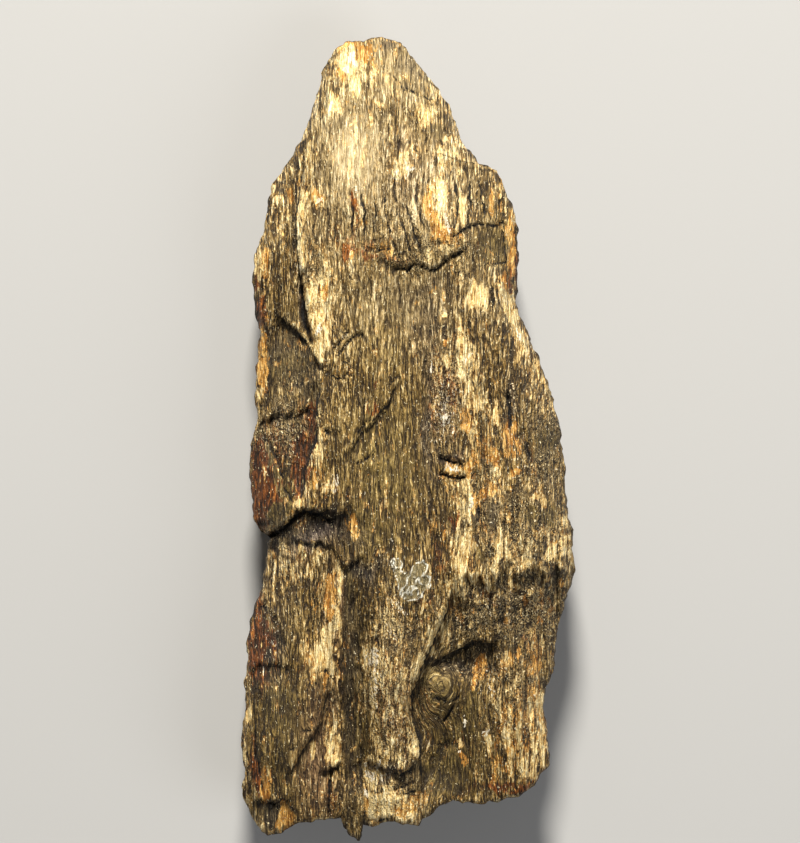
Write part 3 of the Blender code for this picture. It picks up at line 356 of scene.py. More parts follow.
# Solid spots with clear edges: picture x and y and radii in picture points
SPOTS = {
    "cream": [
        (347, 62, 12, 11), (356, 86, 5, 12), (333, 111, 3, 5), (338, 105, 4, 5), (337, 113, 4, 3), (424, 111, 4, 3), (429, 115, 4, 4),
        (433, 112, 3, 2), (446, 141, 4, 4), (451, 147, 4, 5), (454, 153, 3, 5),
        (309, 155, 3, 8), (311, 170, 2.5, 12), (306, 195, 5, 7), (303, 214, 3, 12), (277, 202, 4, 6),
        (287, 216, 1.5, 10), (441, 197, 5, 14), (462, 212, 3, 16), (444, 250, 8, 4), (430, 258, 5, 5),
        (259, 266, 5, 15), (298, 250, 3, 12), (303, 269, 4, 12), (311, 298, 5, 12), (319, 330, 10, 22),
        (317, 308, 8, 16), (326, 336, 6, 16), (316, 346, 7, 8), (322, 357, 4, 6), (259, 394, 4, 6), (322, 432, 7, 5),
        (475, 298, 8, 11), (484, 300, 2.5, 10), (507, 306, 4, 15), (512, 319, 4, 8), (518, 335, 4, 11),
        (519, 355, 3, 7), (526, 351, 2.5, 6), (536, 362, 2, 14), (543, 383, 3, 6), (443, 318, 3, 5),
        (446, 358, 4, 6), (460, 345, 6, 5), (464, 360, 7, 8), (460, 377, 5, 5), (467, 384, 4, 5),
        (475, 402, 5, 5), (486, 395, 2, 8), (494, 410, 2.5, 10), (497, 420, 3, 4), (470, 437, 3, 6),
        (320, 452, 4, 9), (305, 488, 2.5, 12), (301, 500, 7, 4), (470, 500, 2.5, 14), (463, 500, 2, 18),
        (466, 541, 8, 9), (461, 560, 5, 18), (470, 575, 8, 5), (478, 582, 3, 5), (450, 581, 7, 5),
        (486, 584, 5, 5), (512, 583, 5, 5), (541, 578, 6, 4), (498, 592, 3, 4), (530, 590, 3, 4), (476, 596, 3, 4),
        (508, 518, 3.5, 6), (517, 544, 6, 8), (505, 549, 8, 4), (521, 560, 7, 4), (536, 494, 6, 8),
        (541, 503, 3, 8), (550, 551, 7, 7), (563, 541, 4, 7), (571, 556, 1.5, 16), (497, 538, 3, 6),
        (328, 640, 5, 22), (322, 652, 9, 13), (334, 745, 4.5, 16), (331, 757, 5, 6), (376, 652, 5, 12),
        (364, 658, 4, 8), (370, 688, 2.5, 12), (373, 708, 2.5, 10), (379, 741, 3, 9), (371, 759, 7, 6),
        (388, 789, 10, 6), (378, 797, 9, 5), (372, 806, 5, 7), (386, 803, 6, 5), (394, 812, 12, 3), (341, 585, 2, 26), (340, 618, 2, 26), (411, 812, 6, 5), (414, 745, 5, 8),
        (440, 622, 6, 8), (430, 640, 5, 10), (419, 660, 3.5, 12), (424, 604, 3, 5), (262, 825, 3, 5),
        (249, 712, 3, 10), (507, 730, 5, 12), (517, 735, 4, 12), (522, 757, 2.5, 14), (541, 738, 2.5, 26),
        (533, 745, 2, 20), (509, 758, 3, 16), (528, 712, 3, 14), (514, 677, 2, 8), (504, 655, 1.5, 10),
        (530, 770, 6, 4), (540, 700, 3, 12), (487, 740, 2.5, 10), (314, 745, 3, 9), (460, 740, 1.5, 6),
        (383, 650, 1.5, 8), (390, 665, 1.5, 10), (396, 690, 1.5, 12), (402, 705, 1.5, 10), (386, 712, 1.5, 10),
        (392, 735, 1.5, 9), (399, 748, 2, 8), (408, 730, 1.5, 12), (405, 670, 1.5, 8), (379, 675, 1.5, 8),
        (388, 752, 2, 6), (397, 650, 1.5, 6), (411, 700, 1.5, 9), (374, 728, 1.5, 8), (393, 797, 8, 3),
        (402, 793, 6, 2.5), (372, 780, 3, 4), (372, 796, 3, 6), (492, 690, 1.5, 12), (487, 676, 1.5, 8),
        (302, 548, 3.5, 6), (282, 545, 1.5, 8), (317, 552, 1.5, 8), (311, 572, 3, 8), (275, 590, 1.5, 8),
        (481, 601, 2, 3), (493, 595, 2, 2.5), (507, 603, 1.5, 3), (520, 612, 2.5, 3), (536, 601, 2, 3),
        (546, 614, 2, 4), (557, 600, 2, 4), (512, 626, 2, 3), (528, 631, 2, 4), (541, 637, 2.5, 4),
        (488, 614, 1.5, 3), (469, 620, 2, 3), (478, 628, 2, 2), (549, 586, 2, 2.5), (532, 645, 1.5, 4),
    ],
    "orange": [
        (362, 53, 12, 8), (346, 48, 10, 6), (341, 76, 5, 6), (319, 201, 7, 8), (292, 200, 3, 8),
        (428, 211, 4, 12), (433, 224, 5, 8), (440, 236, 7, 8), (490, 205, 3, 14), (513, 250, 2.5, 22),
        (266, 262, 3, 14), (264, 345, 3, 12), (262, 374, 5, 16), (324, 294, 6, 9), (463, 366, 3, 3),
        (504, 285, 4, 6), (466, 427, 5, 8), (507, 430, 4, 12), (491, 457, 6, 10), (468, 468, 3, 16),
        (486, 490, 9, 7), (476, 502, 5, 8), (516, 444, 3, 4), (515, 470, 5, 5), (316, 478, 2.5, 10),
        (354, 520, 4, 7), (331, 595, 4, 26), (318, 655, 6, 10), (326, 677, 2.5, 6), (265, 788, 4, 12),
        (285, 815, 6, 13), (408, 806, 7, 7), (384, 801, 7, 4), (397, 806, 6, 4), (367, 802, 3, 8), (376, 815, 5, 3), (480, 658, 6, 5), (474, 672, 2.5, 9), (536, 664, 5, 4),
        (531, 690, 3, 8), (541, 718, 3, 20), (463, 759, 4, 3), (560, 584, 2, 8), (551, 545, 4, 4),
        (447, 580, 4, 3), (509, 653, 2, 8), (524, 597, 2, 4), (538, 621, 3, 4), (505, 615, 2, 3),
        (549, 603, 2, 5), (473, 608, 2, 3), (518, 645, 2, 5), (449, 471.5, 10, 2),
    ],
    "rust": [
        (310, 309, 2, 13), (258, 285, 3, 6), (261, 308, 5, 7), (313, 428, 3, 22), (261, 474, 8, 34), (270, 492, 8, 16), (257, 505, 6, 16), (302, 464, 8, 30), (371, 410, 3, 4), (453, 520, 4, 7),
        (259, 640, 8, 30), (262, 662, 5, 10), (259, 778, 2.5, 20), (518, 787, 24, 3),
        (541, 774, 6, 5), (347, 258, 3, 10), (510, 278, 2, 12), (353, 205, 2, 12),
        (516, 262, 1.5, 20), (374, 386, 2, 4),
    ],
    # Dark spots: partly the stone's dark flecks and lines, partly painted shadow in thin bands under lips and ledges.
    "dark": [
        (260, 266, 1.8, 7), (305, 300, 2.5, 22), (307, 322, 2.5, 14), (316, 322, 2, 3.5), (313, 336, 2, 5),
        (320, 334, 2, 4), (323, 325, 2, 3), (317, 312, 2, 3), (325, 340, 2, 4), (312, 310, 1.5, 4), (491, 298, 2, 11), (452, 357, 3, 4),
        (508, 412, 1.5, 22), (526, 450, 2.5, 14), (325, 508, 14, 4), (302, 514, 5, 5), (286, 530, 8, 3),
        (350, 561, 6, 4), (368, 570, 4, 4), (480, 641, 8, 3), (397, 765, 8, 3),
        (499, 600, 1.5, 6), (472, 645, 9, 4), (560, 500, 6, 4), (270, 655, 4, 10), (344, 664, 4, 5), (528, 535, 6, 4),
        (509, 512, 3, 18), (321, 298, 1.5, 4), (326, 318, 1.5, 4), (311, 325, 2, 5), (448, 460, 13, 1.5), (450, 476.5, 12, 1.7), (485, 606, 5, 4), (514, 597, 3, 5), (532, 616, 3, 5),
        (500, 632, 4, 3), (545, 593, 3, 4), (485, 622, 3, 3), (523, 588, 3, 3), (556, 618, 2, 5), (512, 720, 1.2, 20), (523, 745, 1.2, 22),
        (534, 718, 1.2, 18), (545, 700, 1.5, 20), (503, 750, 1.2, 20), (529, 766, 1.2, 12), (538, 755, 1, 12), (517, 746, 1.8, 5), (519, 730, 1.2, 5), (526, 722, 1.5, 12), (400, 776, 6, 3),
        (434, 656, 14, 3), (552, 572, 7, 6), (526, 573, 6, 4), (499, 580, 5, 4), (470, 564, 4, 4), (499, 561, 4, 4),
        (534, 553, 5, 4), (487, 548, 4, 5), (515, 530, 4, 6),
    ],
    "olive": [
        (490, 248, 16, 14), (290, 362, 20, 26), (473, 512, 2.5, 9), (490, 512, 4.5, 10),
        (546, 512, 8, 14), (529, 516, 5, 9), (352, 700, 9, 70), (362, 735, 9, 24), (270, 815, 6, 14),
        (283, 705, 20, 26), (445, 772, 22, 22), (470, 710, 8, 26), (436, 134, 7, 7),
        (478, 552, 5, 6), (350, 600, 7, 34), (463, 535, 3, 2.5), (280, 518, 14, 12), (545, 440, 12, 12), (272, 452, 3, 10),
        (279, 470, 3.5, 12), (286, 488, 4, 12), (292, 502, 4, 8),
    ],
    "white": [
        (353, 62, 6, 4), (345, 70, 5, 3), (332, 112, 3, 4), (320, 203, 4, 4), (303, 269, 2, 6),
        (470, 503, 1.5, 8), (466, 357, 4, 2), (518, 333, 2.5, 6), (443, 415, 2, 4), (338, 480, 1.5, 7),
        (390, 520, 2, 2), (484, 726, 3, 2), (487, 730, 1.5, 4), (366, 790, 3, 6), (372, 771, 4, 5), (265, 667, 2, 2.5), (452, 467, 9, 2.2),
        (376, 660, 2, 6), (379, 762, 3, 5), (430, 373, 2, 3), (408, 172, 5, 3), 
        (464, 717, 1.2, 8), (457, 750, 3, 1.5), (446, 220, 2, 12), (319, 333, 3, 6), (358, 195, 2, 3),
    ],
}

# The glassy crust: a closed rim of picture points, and round cells with their radii
CRUST_RIM = [
    (391, 559), (397, 555), (403, 561), (401, 569), (410, 571), (414, 562), (422, 558), (427, 562),
    (423, 570), (430, 574), (429, 583), (423, 588), (420, 595), (408, 597), (400, 593), (399, 582), (395, 571),
]
CRUST_CELLS = [(399, 561, 4.5), (411, 578, 5.0), (424, 577, 5.0), (414, 588, 4.0), (405, 588, 3.0)]

# Distances to lines are counted up to this, in millimetres.
FAR = 3.0

FLOOR_COLOUR = (0.38, 0.38, 0.38, 1.0)


def place(points):
    """Picture points as millimetres in the stone's own frame."""
    points = np.array(points, float)
    x = (points[..., 0] - PICTURE_CENTRE[0]) * PICTURE_STEP
    y = (PICTURE_CENTRE[1] - points[..., 1]) * PICTURE_STEP
    return np.stack([x, y], -1)


def picture_y(y):
    return PICTURE_CENTRE[1] - y / PICTURE_STEP


def smooth(t):
    t = np.clip(t, 0.0, 1.0)
    return t * t * (3.0 - 2.0 * t)


def scatter(i, j, seed):
    """A fixed number from -1 to 1 for each whole-number place (i, j)."""
    mixed = i.astype(np.int64) * 374761393 + j.astype(np.int64) * 668265263 + seed * 974634777
    mixed = (mixed ^ (mixed >> 13)) * 1274126177 & 0x7FFFFFFF
    mixed = (mixed ^ (mixed >> 16)) & 0xFFFF
    return mixed / 32767.5 - 1.0


def swell(x, y, seed):
    """Smooth rolling noise from -1 to 1, with one wave for each unit of x and y."""
    i, j = np.floor(x), np.floor(y)
    u, v = smooth(x - i), smooth(y - j)
    low = scatter(i, j, seed) * (1 - u) + scatter(i + 1, j, seed) * u
    high = scatter(i, j + 1, seed) * (1 - u) + scatter(i + 1, j + 1, seed) * u
    return low * (1 - v) + high * v


def fibres(x, y, width, length, seed):
    """Ribs along y, broken into splinters that each stand and lean in a way of their own, from -1 to 1."""
    lane = x / width + 0.5 * swell(x / (3 * width), y / (1.3 * length), seed)
    i = np.floor(lane)
    across = lane - i
    along = y / length + 9.0 * scatter(i, i * 0, seed + 1)
    j = np.floor(along)
    share = along - j
    turn = smooth((share - 0.9) / 0.1)
    level = scatter(i, j, seed + 2) + scatter(i, j, seed + 3) * (share - 0.5)
    following = scatter(i, j + 1, seed + 2) - 0.5 * scatter(i, j + 1, seed + 3)
    return 0.6 * (level * (1 - turn) + following * turn) + 0.4 * (1 - 2 * (2 * across - 1) ** 2)


def splinter_ends(x, y):
    """How far each fibre runs on past a break across the grain, in millimetres."""
    reach = np.zeros(x.shape)
    for width, most, seed in ((4.3, 1.8, 15), (1.7, 0.9, 16), (0.8, 0.3, 17)):
        lane = x / width + 0.4 * swell(x / 6.0, y / 18.0, seed + 3)
        i = np.floor(lane)
        turn = smooth((lane - i - 0.7) / 0.3)
        reach += most * (scatter(i, i * 0, seed) * (1 - turn) + scatter(i + 1, i * 0, seed) * turn)
    return reach


def curve_through(nodes_x, nodes_z, x):
    """Height at x on a smooth curve through nodes that are given anew for each point."""
    slopes = np.empty_like(nodes_z)
    slopes[1:-1] = (nodes_z[2:] - nodes_z[:-2]) / (nodes_x[2:] - nodes_x[:-2])
    slopes[0] = 1.4 * (nodes_z[1] - nodes_z[0]) / (nodes_x[1] - nodes_x[0])
    slopes[-1] = 1.4 * (nodes_z[-1] - nodes_z[-2]) / (nodes_x[-1] - nodes_x[-2])
    height = np.where(x < nodes_x[0], nodes_z[0], nodes_z[-1])
    for k in range(len(nodes_x) - 1):
        width = nodes_x[k + 1] - nodes_x[k]
        t = (x - nodes_x[k]) / width
        bend = smooth(t)
        piece = nodes_z[k] * (1 - bend) + nodes_z[k + 1] * bend
        piece += width * t * (1 - t) * (slopes[k] * (1 - t) - slopes[k + 1] * t)
        height = np.where((t >= 0) & (t < 1), piece, height)
    return height


def edge_across(y, edge):
    """How far across an edge lies at y, evened out over its small notches."""
    edge = place(edge)
    return sum(np.interp(y + shift, edge[:, 1], edge[:, 0]) for shift in (-3.0, -1.5, 0.0, 1.5, 3.0)) / 5


def body_height(x, y):
    """The stone's broad form, from its edges and its five guide lines."""
    down = picture_y(y)
    crest = CREST_HEIGHT / MM
    rows = [row[0] for row in GUIDE_ROWS]
    edge_rows, left_edge, right_edge = zip(*EDGE_ROWS)
    nodes_x = [edge_across(y, LEFT_EDGE)]
    nodes_z = [np.interp(down, edge_rows, left_edge) * crest]
    for line in range(1, len(GUIDE_ROWS[0])):
        guide = place([(row[line][0], row[0]) for row in GUIDE_ROWS])
        nodes_x.append(np.interp(y, guide[::-1, 1], guide[::-1, 0]))
        nodes_z.append(np.interp(down, rows, [row[line][1] for row in GUIDE_ROWS]) * crest)
    nodes_x.append(edge_across(y, RIGHT_EDGE))
    nodes_z.append(np.interp(down, edge_rows, right_edge) * crest)
    return curve_through(np.array(nodes_x), np.array(nodes_z), x)


def line_distance(x, y, line):
    """Distance to a line, positive on its left, the share of its length at the nearest point, and the
    direction towards its left there."""
    line = place(line)
    steps = np.diff(line, axis=0)
    lengths = np.hypot(steps[:, 0], steps[:, 1])
    sides = np.stack([-steps[:, 1], steps[:, 0]], 1) / lengths[:, None]
    starts = np.concatenate([[0.0], np.cumsum(lengths)])
    nearest = np.full(x.shape, np.inf)
    signed, share, left_x, left_y = (np.zeros(x.shape) for _ in range(4))
    for k, step in enumerate(steps):
        from_x, from_y = x - line[k, 0], y - line[k, 1]
        t = np.clip((from_x * step[0] + from_y * step[1]) / lengths[k] ** 2, 0.0, 1.0)
        away_x, away_y = from_x - t * step[0], from_y - t * step[1]
        away = np.hypot(away_x, away_y)
        before = sides[max(k - 1, 0)] + sides[k]
        after = sides[min(k + 1, len(steps) - 1)] + sides[k]
        side_x = np.where(t <= 0, before[0], np.where(t >= 1, after[0], sides[k, 0]))
        side_y = np.where(t <= 0, before[1], np.where(t >= 1, after[1], sides[k, 1]))
        closer = away < nearest
        nearest = np.where(closer, away, nearest)
        signed = np.where(closer, np.where(away_x * side_x + away_y * side_y < 0, -away, away), signed)
        share = np.where(closer, (starts[k] + t * lengths[k]) / starts[-1], share)
        left_x = np.where(closer, sides[k, 0], left_x)
        left_y = np.where(closer, sides[k, 1], left_y)
    return signed, share, left_x, left_y


def end_fade(share):
    return smooth(share / 0.14) * smooth((1 - share) / 0.14)


def ledge_relief(x, y):
    """The height of the ledges, how far each point moves sideways to undercut them, and the distance
    to the line of painted shade at the foot of the sharp ones."""
    splinters = splinter_ends(x, y) + 0.4 * swell(x / 0.9, y / 4.0, 13)
    sway = 0.8 * swell(x / 3.0, y / 5.0, 12) + 0.5 * swell(x / 1.5, y / 1.8, 18)
    height, push_x, push_y = (np.zeros(x.shape) for _ in range(3))
    line_gap = np.full(x.shape, FAR)
    for drop, reach_high, reach_low, width, ragged, line in LEDGES.values():
        ragged_x, ragged_y = x + sway * (0.3 + 0.4 * ragged), y + splinters * ragged + 0.3 * sway
        away, share, left_x, left_y = line_distance(ragged_x, ragged_y, line)
        fade = end_fade(share)
        high = smooth(away / width + 0.5)
        rise = 0.35 * np.exp(-((np.maximum(away, 0) / reach_high) ** 2)) * high
        fall = 0.65 * np.exp(-((np.minimum(away, 0) / reach_low) ** 2)) * (1 - high)
        height += drop * fade * (rise - fall)
        if width > 2:
            continue
        lip = np.where(away > 0, -np.exp(-away / 0.9), np.exp(away / 0.7))
        near = min(0.12 * drop, 0.7) * fade * lip
        push_x += near * left_x
        push_y += near * left_y
        line_gap = np.minimum(line_gap, np.abs(away + width / 3) + 2.0 * (1 - fade) + 0.3 / drop)
    return height, push_x, push_y, line_gap


def crack_relief(x, y):
    """The height of the cracks and the distance to the nearest one."""
    height, line_gap = np.zeros(x.shape), np.full(x.shape, FAR)
    wander = 0.3 * swell(x / 1.1, y / 1.7, 14) + 0.15 * swell(x / 0.5, y / 0.6, 19)
    for depth, half_width, line in list(CRACKS.values()) + HAIRLINES:
        away, share, _, _ = line_distance(x + wander, y + wander, line)
        fade = end_fade(share)
        height -= depth * fade * np.exp(-((away / half_width) ** 2))
        if half_width < 1:
            line_gap = np.minimum(line_gap, np.abs(away) + 1.0 * (1 - fade) + 0.12 / depth)
    return height, line_gap


def lump_height(x, y):
    height = np.zeros(x.shape)
    for across, down, radius_x, radius_y, rise in LUMPS.values():
        centre = place((across, down))
        off = ((x - centre[0]) / radius_x) ** 2 + ((y - centre[1]) / radius_y) ** 2
        height += rise * np.exp(-off)
    return height


def grain_height(x, y):
    """The broad ribs of the grain, several times longer than they are wide."""
    height = 0.55 * swell(x / 5.5, y / 26.0, 21)
    height += 0.45 * swell(x / 3.1, y / 13.0, 22)
    height += 0.30 * swell(x / 1.9, y / 9.0, 23)
    return height


def patch(x, y, name):
    """How much of a named kind of surface there is, from 0 to 1, fading over its edges."""
    amount = np.zeros(x.shape)
    sway_x = x + 1.0 * swell(x / 4.0, y / 9.0, 51)
    sway_y = y + 3.0 * swell(x / 3.0, y / 12.0, 52)
    for across, down, radius_x, radius_y, strength in PATCHES[name]:
        centre = place((across, down))
        off_x = (sway_x - centre[0]) / (radius_x * PICTURE_STEP)
        off_y = (sway_y - centre[1]) / (radius_y * PICTURE_STEP)
        amount = np.maximum(amount, strength * np.exp(-0.8 * (off_x**2 + off_y**2)))
    return amount


def spots(x, y, name):
    """1 inside the named spots and 0 outside, with ragged edges."""
    amount = np.zeros(x.shape)
    sway_x = x + 0.45 * swell(x / 1.3, y / 2.4, 53) + 0.25 * swell(x / 0.7, y / 1.2, 54)
    sway_y = y + 1.4 * swell(x / 0.9, y / 3.4, 55) + 0.8 * swell(x / 0.6, y / 1.6, 56)
    for across, down, radius_x, radius_y in SPOTS[name]:
        centre = place((across, down))
        off = np.hypot(
            (sway_x - centre[0]) / (radius_x * PICTURE_STEP),
            (sway_y - centre[1]) / (radius_y * PICTURE_STEP),
        )
        amount = np.maximum(amount, smooth((1.3 - off) / 0.5))
    return amount


def colour_masks(x, y, gap):
    """All masks of the front that are about colour, from its patches, its spots and its pale rim."""
    masks = {name: patch(x, y, name) for name in PATCHES}
    solid = {name: spots(x, y, name) for name in SPOTS}
    # A pale cream rim along the outline: partly the stone's paler edge, partly a painted highlight where the edge
    # catches the light.
    rim = np.exp(-gap / 0.5) * soft_step(swell(x / 4.0, y / 9.0, 57), -0.6, 0.2)
    masks["cream"] = np.maximum(masks["cream"], 0.75 * rim)
    under = {"orange": "cream", "rust": "cream orange", "dark": "cream orange rust", "olive": "cream orange rust"}
    for name, covered in under.items():
        for other in covered.split():
            masks[other] = masks[other] * (1 - 0.75 * solid[name])
    masks["smooth"] = np.maximum(masks["smooth"], solid["olive"])
    for name in ("cream", "orange", "rust", "white"):
        masks[name] = np.maximum(masks[name], 0.85 * solid[name])
    masks["dark"] = np.maximum(masks["dark"], 1.6 * solid["dark"])
    masks["dark"] = np.maximum(masks["dark"], 0.55 * solid["olive"])
    masks["rough"] = masks["rough"] * (1 - 0.7 * solid["olive"])
    masks["even"] = np.max([solid[name] for name in ("cream", "orange", "rust", "white")], axis=0)
    return masks


def crust_relief(x, y):
    """The glassy crust: its thickness, where it is, and the distance to the rims of its cells."""
    wander = 0.3 * swell(x / 0.9, y / 0.9, 61)
    away, _, _, _ = line_distance(x + wander, y - wander, CRUST_RIM + CRUST_RIM[:1])
    middle = place(CRUST_RIM).mean(axis=0)
    nearby = np.hypot(x - middle[0], y - middle[1]) < 6.0
    inside = smooth(0.5 - away / 0.5) * nearby
    line_gap = np.abs(away)
    for across, down, radius in CRUST_CELLS:
        centre = place((across, down))
        radius *= PICTURE_STEP
        off = np.hypot(x + wander - centre[0], y - wander - centre[1])
        line_gap = np.minimum(line_gap, np.abs(off - radius) + 3 * (1 - inside))
    thickness = 0.12 * inside + 0.35 * np.exp(-((line_gap / 0.3) ** 2))
    return thickness, inside, np.minimum(line_gap, FAR)


def knot_coordinates(x, y):
    """The grain's own coordinates: straight, but bent round the knot."""
    centre = place(LUMPS["knot"][:2])
    off_x, off_y = x - centre[0], (y - centre[1]) / 1.25
    radius = np.hypot(off_x, off_y)
    near = np.exp(-((radius / 5.2) ** 2))
    lower = place((432, 715))
    near_low = 0.8 * np.exp(-(((x - lower[0]) / 3.2) ** 2) - ((y - lower[1]) / 4.5) ** 2)
    wobble = 0.5 * swell(x / 1.6, y / 1.6, 63) + 0.3 * swell(x / 0.7, y / 0.7, 64)
    across = x * (1 - near) + (centre[0] + radius + wobble) * near
    across = across + near_low * (y - lower[1]) * 0.8
    return across, y + 0.6 * near * np.arctan2(off_x, off_y) * radius


def edge_drop(x, y, ring):
    """How far the front falls away where it rounds over into the wall, and the distance to the edge."""
    radius = EDGE_ROUNDING / MM
    gap = np.full(x.shape, np.inf)
    for start, end in zip(ring, np.roll(ring, -1, axis=0)):
        step = end - start
        t = ((x - start[0]) * step[0] + (y - start[1]) * step[1]) / (step @ step)
        t = np.clip(t, 0.0, 1.0)
        gap = np.minimum(gap, np.hypot(x - start[0] - t * step[0], y - start[1] - t * step[1]))
    inward = 1.0 - np.minimum(gap / radius, 1.0)
    return radius * (1.0 - np.sqrt(1.0 - inward**2)), gap


def fine_relief(x, y, calm, rough):
    """Splintered fibres and, where the stone is rough, pits and small lumps."""
    across, along = knot_coordinates(x, y)
    amount = (1.0 - 0.75 * calm) * (1.0 + 0.5 * rough)
    height = amount * 0.42 * fibres(across, along, 3.1, 19.0, 71)
    height += amount * 0.30 * fibres(across, along, 1.7, 9.0, 75)
    height += amount * 0.20 * fibres(across, along, 1.05, 4.5, 79) + 0.05 * fibres(across, along, 0.9, 6.0, 87)
    height += rough * (0.45 * swell(x / 1.6, y / 2.4, 83) + 0.35 * swell(x / 0.9, y / 1.5, 84))
    return height


def back_height(x, y):
    """The underside: shallow hollows with faint ribs between broad patches that lie flat at zero."""
    hollows = 1.9 * swell(x / 21.0, y / 38.0, 31) + 0.7 * swell(x / 7.0, y / 24.0, 32)
    deep = np.maximum(hollows - 0.35, 0.0)
    return deep + 0.5 * smooth(deep) * (1 + swell(x / 2.6, y / 21.0, 33))


def foot_lift(x, y, gap):
    """How far the underside curves up towards its edge, which is the given gap away."""
    return FOOT_LIFT / MM * (1 + 0.4 * swell(x / 9.0, y / 13.0, 34)) * np.exp(-gap / 3.0)


def wall_relief(along, height, x, end_on, inset):
    """How far the wall stands in: long steps and ribs on the flanks, broken lumps where it is end-on."""
    sway = 4.0 * swell(along / 67.0, along * 0, 43) + 1.5 * swell(along / 26.0, along * 0, 44)
    level = (height + sway) / 6.4
    share = level - np.floor(level)
    steps = smooth((share - 0.72) / 0.28) - share
    steps *= 1.5 + 0.9 * swell(along / 31.0, np.floor(level), 48)
    chunk = 1.6 * swell(along / 29.0, height / 9.0, 41) + 0.7 * swell(along / 13.0, height / 4.0, 42)
    flank = steps + chunk + 0.5 * fibres(height, along, 3.6, 31.0, 49)
    lumps = 1.5 * swell(x / 8.0, height / 7.0, 45) + 1.1 * swell(x / 3.7, height / 3.4, 46)
    return np.maximum(flank * (1 - end_on) + lumps * end_on, -0.85 * inset)


def spaced(points, count):
    """Points at even steps along a line of picture points."""
    points = place(points)
    along = np.concatenate([[0.0], np.cumsum(np.hypot(*np.diff(points, axis=0).T))])
    steps = np.linspace(0.0, along[-1], count + 1)
    return np.stack([np.interp(steps, along, points[:, 0]), np.interp(steps, along, points[:, 1])], 1)


def fill_between(left, right, bottom, tip):
    """A grid of points whose four sides are the given lines."""
    u = np.linspace(0.0, 1.0, len(bottom))[None, :, None]
    v = np.linspace(0.0, 1.0, len(left))[:, None, None]
    sides = (1 - u) * left[:, None] + u * right[:, None]
    ends = (1 - v) * bottom[None] + v * tip[None]
    corners = (1 - v) * ((1 - u) * bottom[0] + u * bottom[-1]) + v * ((1 - u) * tip[0] + u * tip[-1])
    return sides + ends - corners


def border_gap(grid):
    """For each point of a grid, roughly how far it is from the grid's border."""
    across = np.hypot(*np.moveaxis(grid - grid[:, :1], -1, 0))
    across = np.minimum(across, np.hypot(*np.moveaxis(grid - grid[:, -1:], -1, 0)))
    along = np.hypot(*np.moveaxis(grid - grid[:1], -1, 0))
    along = np.minimum(along, np.hypot(*np.moveaxis(grid - grid[-1:], -1, 0)))
    return np.minimum(across, along)


def ring_of(grid):
    """The border of a grid, counter-clockwise as seen from above."""
    return np.concatenate([grid[0, :-1], grid[:-1, -1], grid[-1, :0:-1], grid[:0:-1, 0]])


def back_ring(ring):
    """The outline of the back: the front's outline made smooth and drawn in."""
    closed = np.concatenate([ring, ring[:1]])
    along = np.concatenate([[0.0], np.cumsum(np.hypot(*np.diff(closed, axis=0).T))])
    count = 720
    even = np.linspace(0.0, along[-1], count, endpoint=False)
    turns = np.interp(even, along, closed[:, 0]) + 1j * np.interp(even, along, closed[:, 1])
    waves = np.fft.fftfreq(count, along[-1] / count)
    turns = np.fft.ifft(np.fft.fft(turns) * np.exp(-((waves * 24.0) ** 2)))
    outward = -1j * (np.roll(turns, -1) - np.roll(turns, 1))
    turns = turns - outward / abs(outward) * BACK_INSET / MM
    wrapped = np.append(turns, turns[0])
    places = np.append(even, along[-1])
    x = np.interp(along[:-1], places, wrapped.real)
    y = np.interp(along[:-1], places, wrapped.imag)
    return np.stack([x, y], 1), along[:-1]


def wall_row(depth, ring, rim_height, foot, foot_height, along):
    """One row of points down the wall."""
    inward = foot - ring
    inward /= np.hypot(inward[:, 0], inward[:, 1])[:, None]
    end_on = smooth(1.6 * np.abs(inward[:, 1]) - 0.5)
    spot = ring * (1 - depth**2) + foot * depth**2
    height = rim_height * (1 - depth) + foot_height * depth
    inset = np.hypot(*(spot - ring).T)
    into = wall_relief(along, height, spot[:, 0], end_on, inset)
    into *= smooth(depth * 5) * smooth((1 - depth) * 4)
    ribs = 0.45 * fibres(height, spot[:, 1], 2.6, 17.0, 91) + 0.30 * fibres(height, spot[:, 1], 1.4, 8.0, 94)
    crumbs = 0.7 * swell(spot[:, 0] / 1.8, height / 1.8, 97) + 0.4 * swell(spot[:, 0] / 0.9, height / 0.9, 98)
    fine = ribs * (1 - end_on) + crumbs * end_on
    into += fine * smooth(depth * 9) * smooth((1 - depth) * 9)
    into = np.maximum(into, -0.85 * inset)
    return np.column_stack([spot + inward * into[:, None], height])


def blurred(grid, times):
    for _ in range(times):
        padded = np.pad(grid, 1, mode="edge")
        grid = (padded[:-2, 1:-1] + padded[2:, 1:-1] + padded[1:-1, :-2] + padded[1:-1, 2:] + grid) / 5
    return grid


def soft_step(value, low, high):
    return smooth((value - low) / (high - low))


def chipped(line, seed):
    """A stretch of the outline with small chips out of it."""
    steps = np.gradient(line, axis=0)
    across = np.stack([steps[:, 1], -steps[:, 0]], 1) / np.hypot(steps[:, 0], steps[:, 1])[:, None]
    along = np.concatenate([[0.0], np.cumsum(np.hypot(*np.diff(line, axis=0).T))])
    chips = 0.32 * swell(along / 2.1, along * 0, seed) + 0.22 * swell(along / 0.9, along * 0, seed + 1)
    ends = smooth(along / 2.0) * smooth((along[-1] - along) / 2.0)
    return line + across * (chips * ends)[:, None]


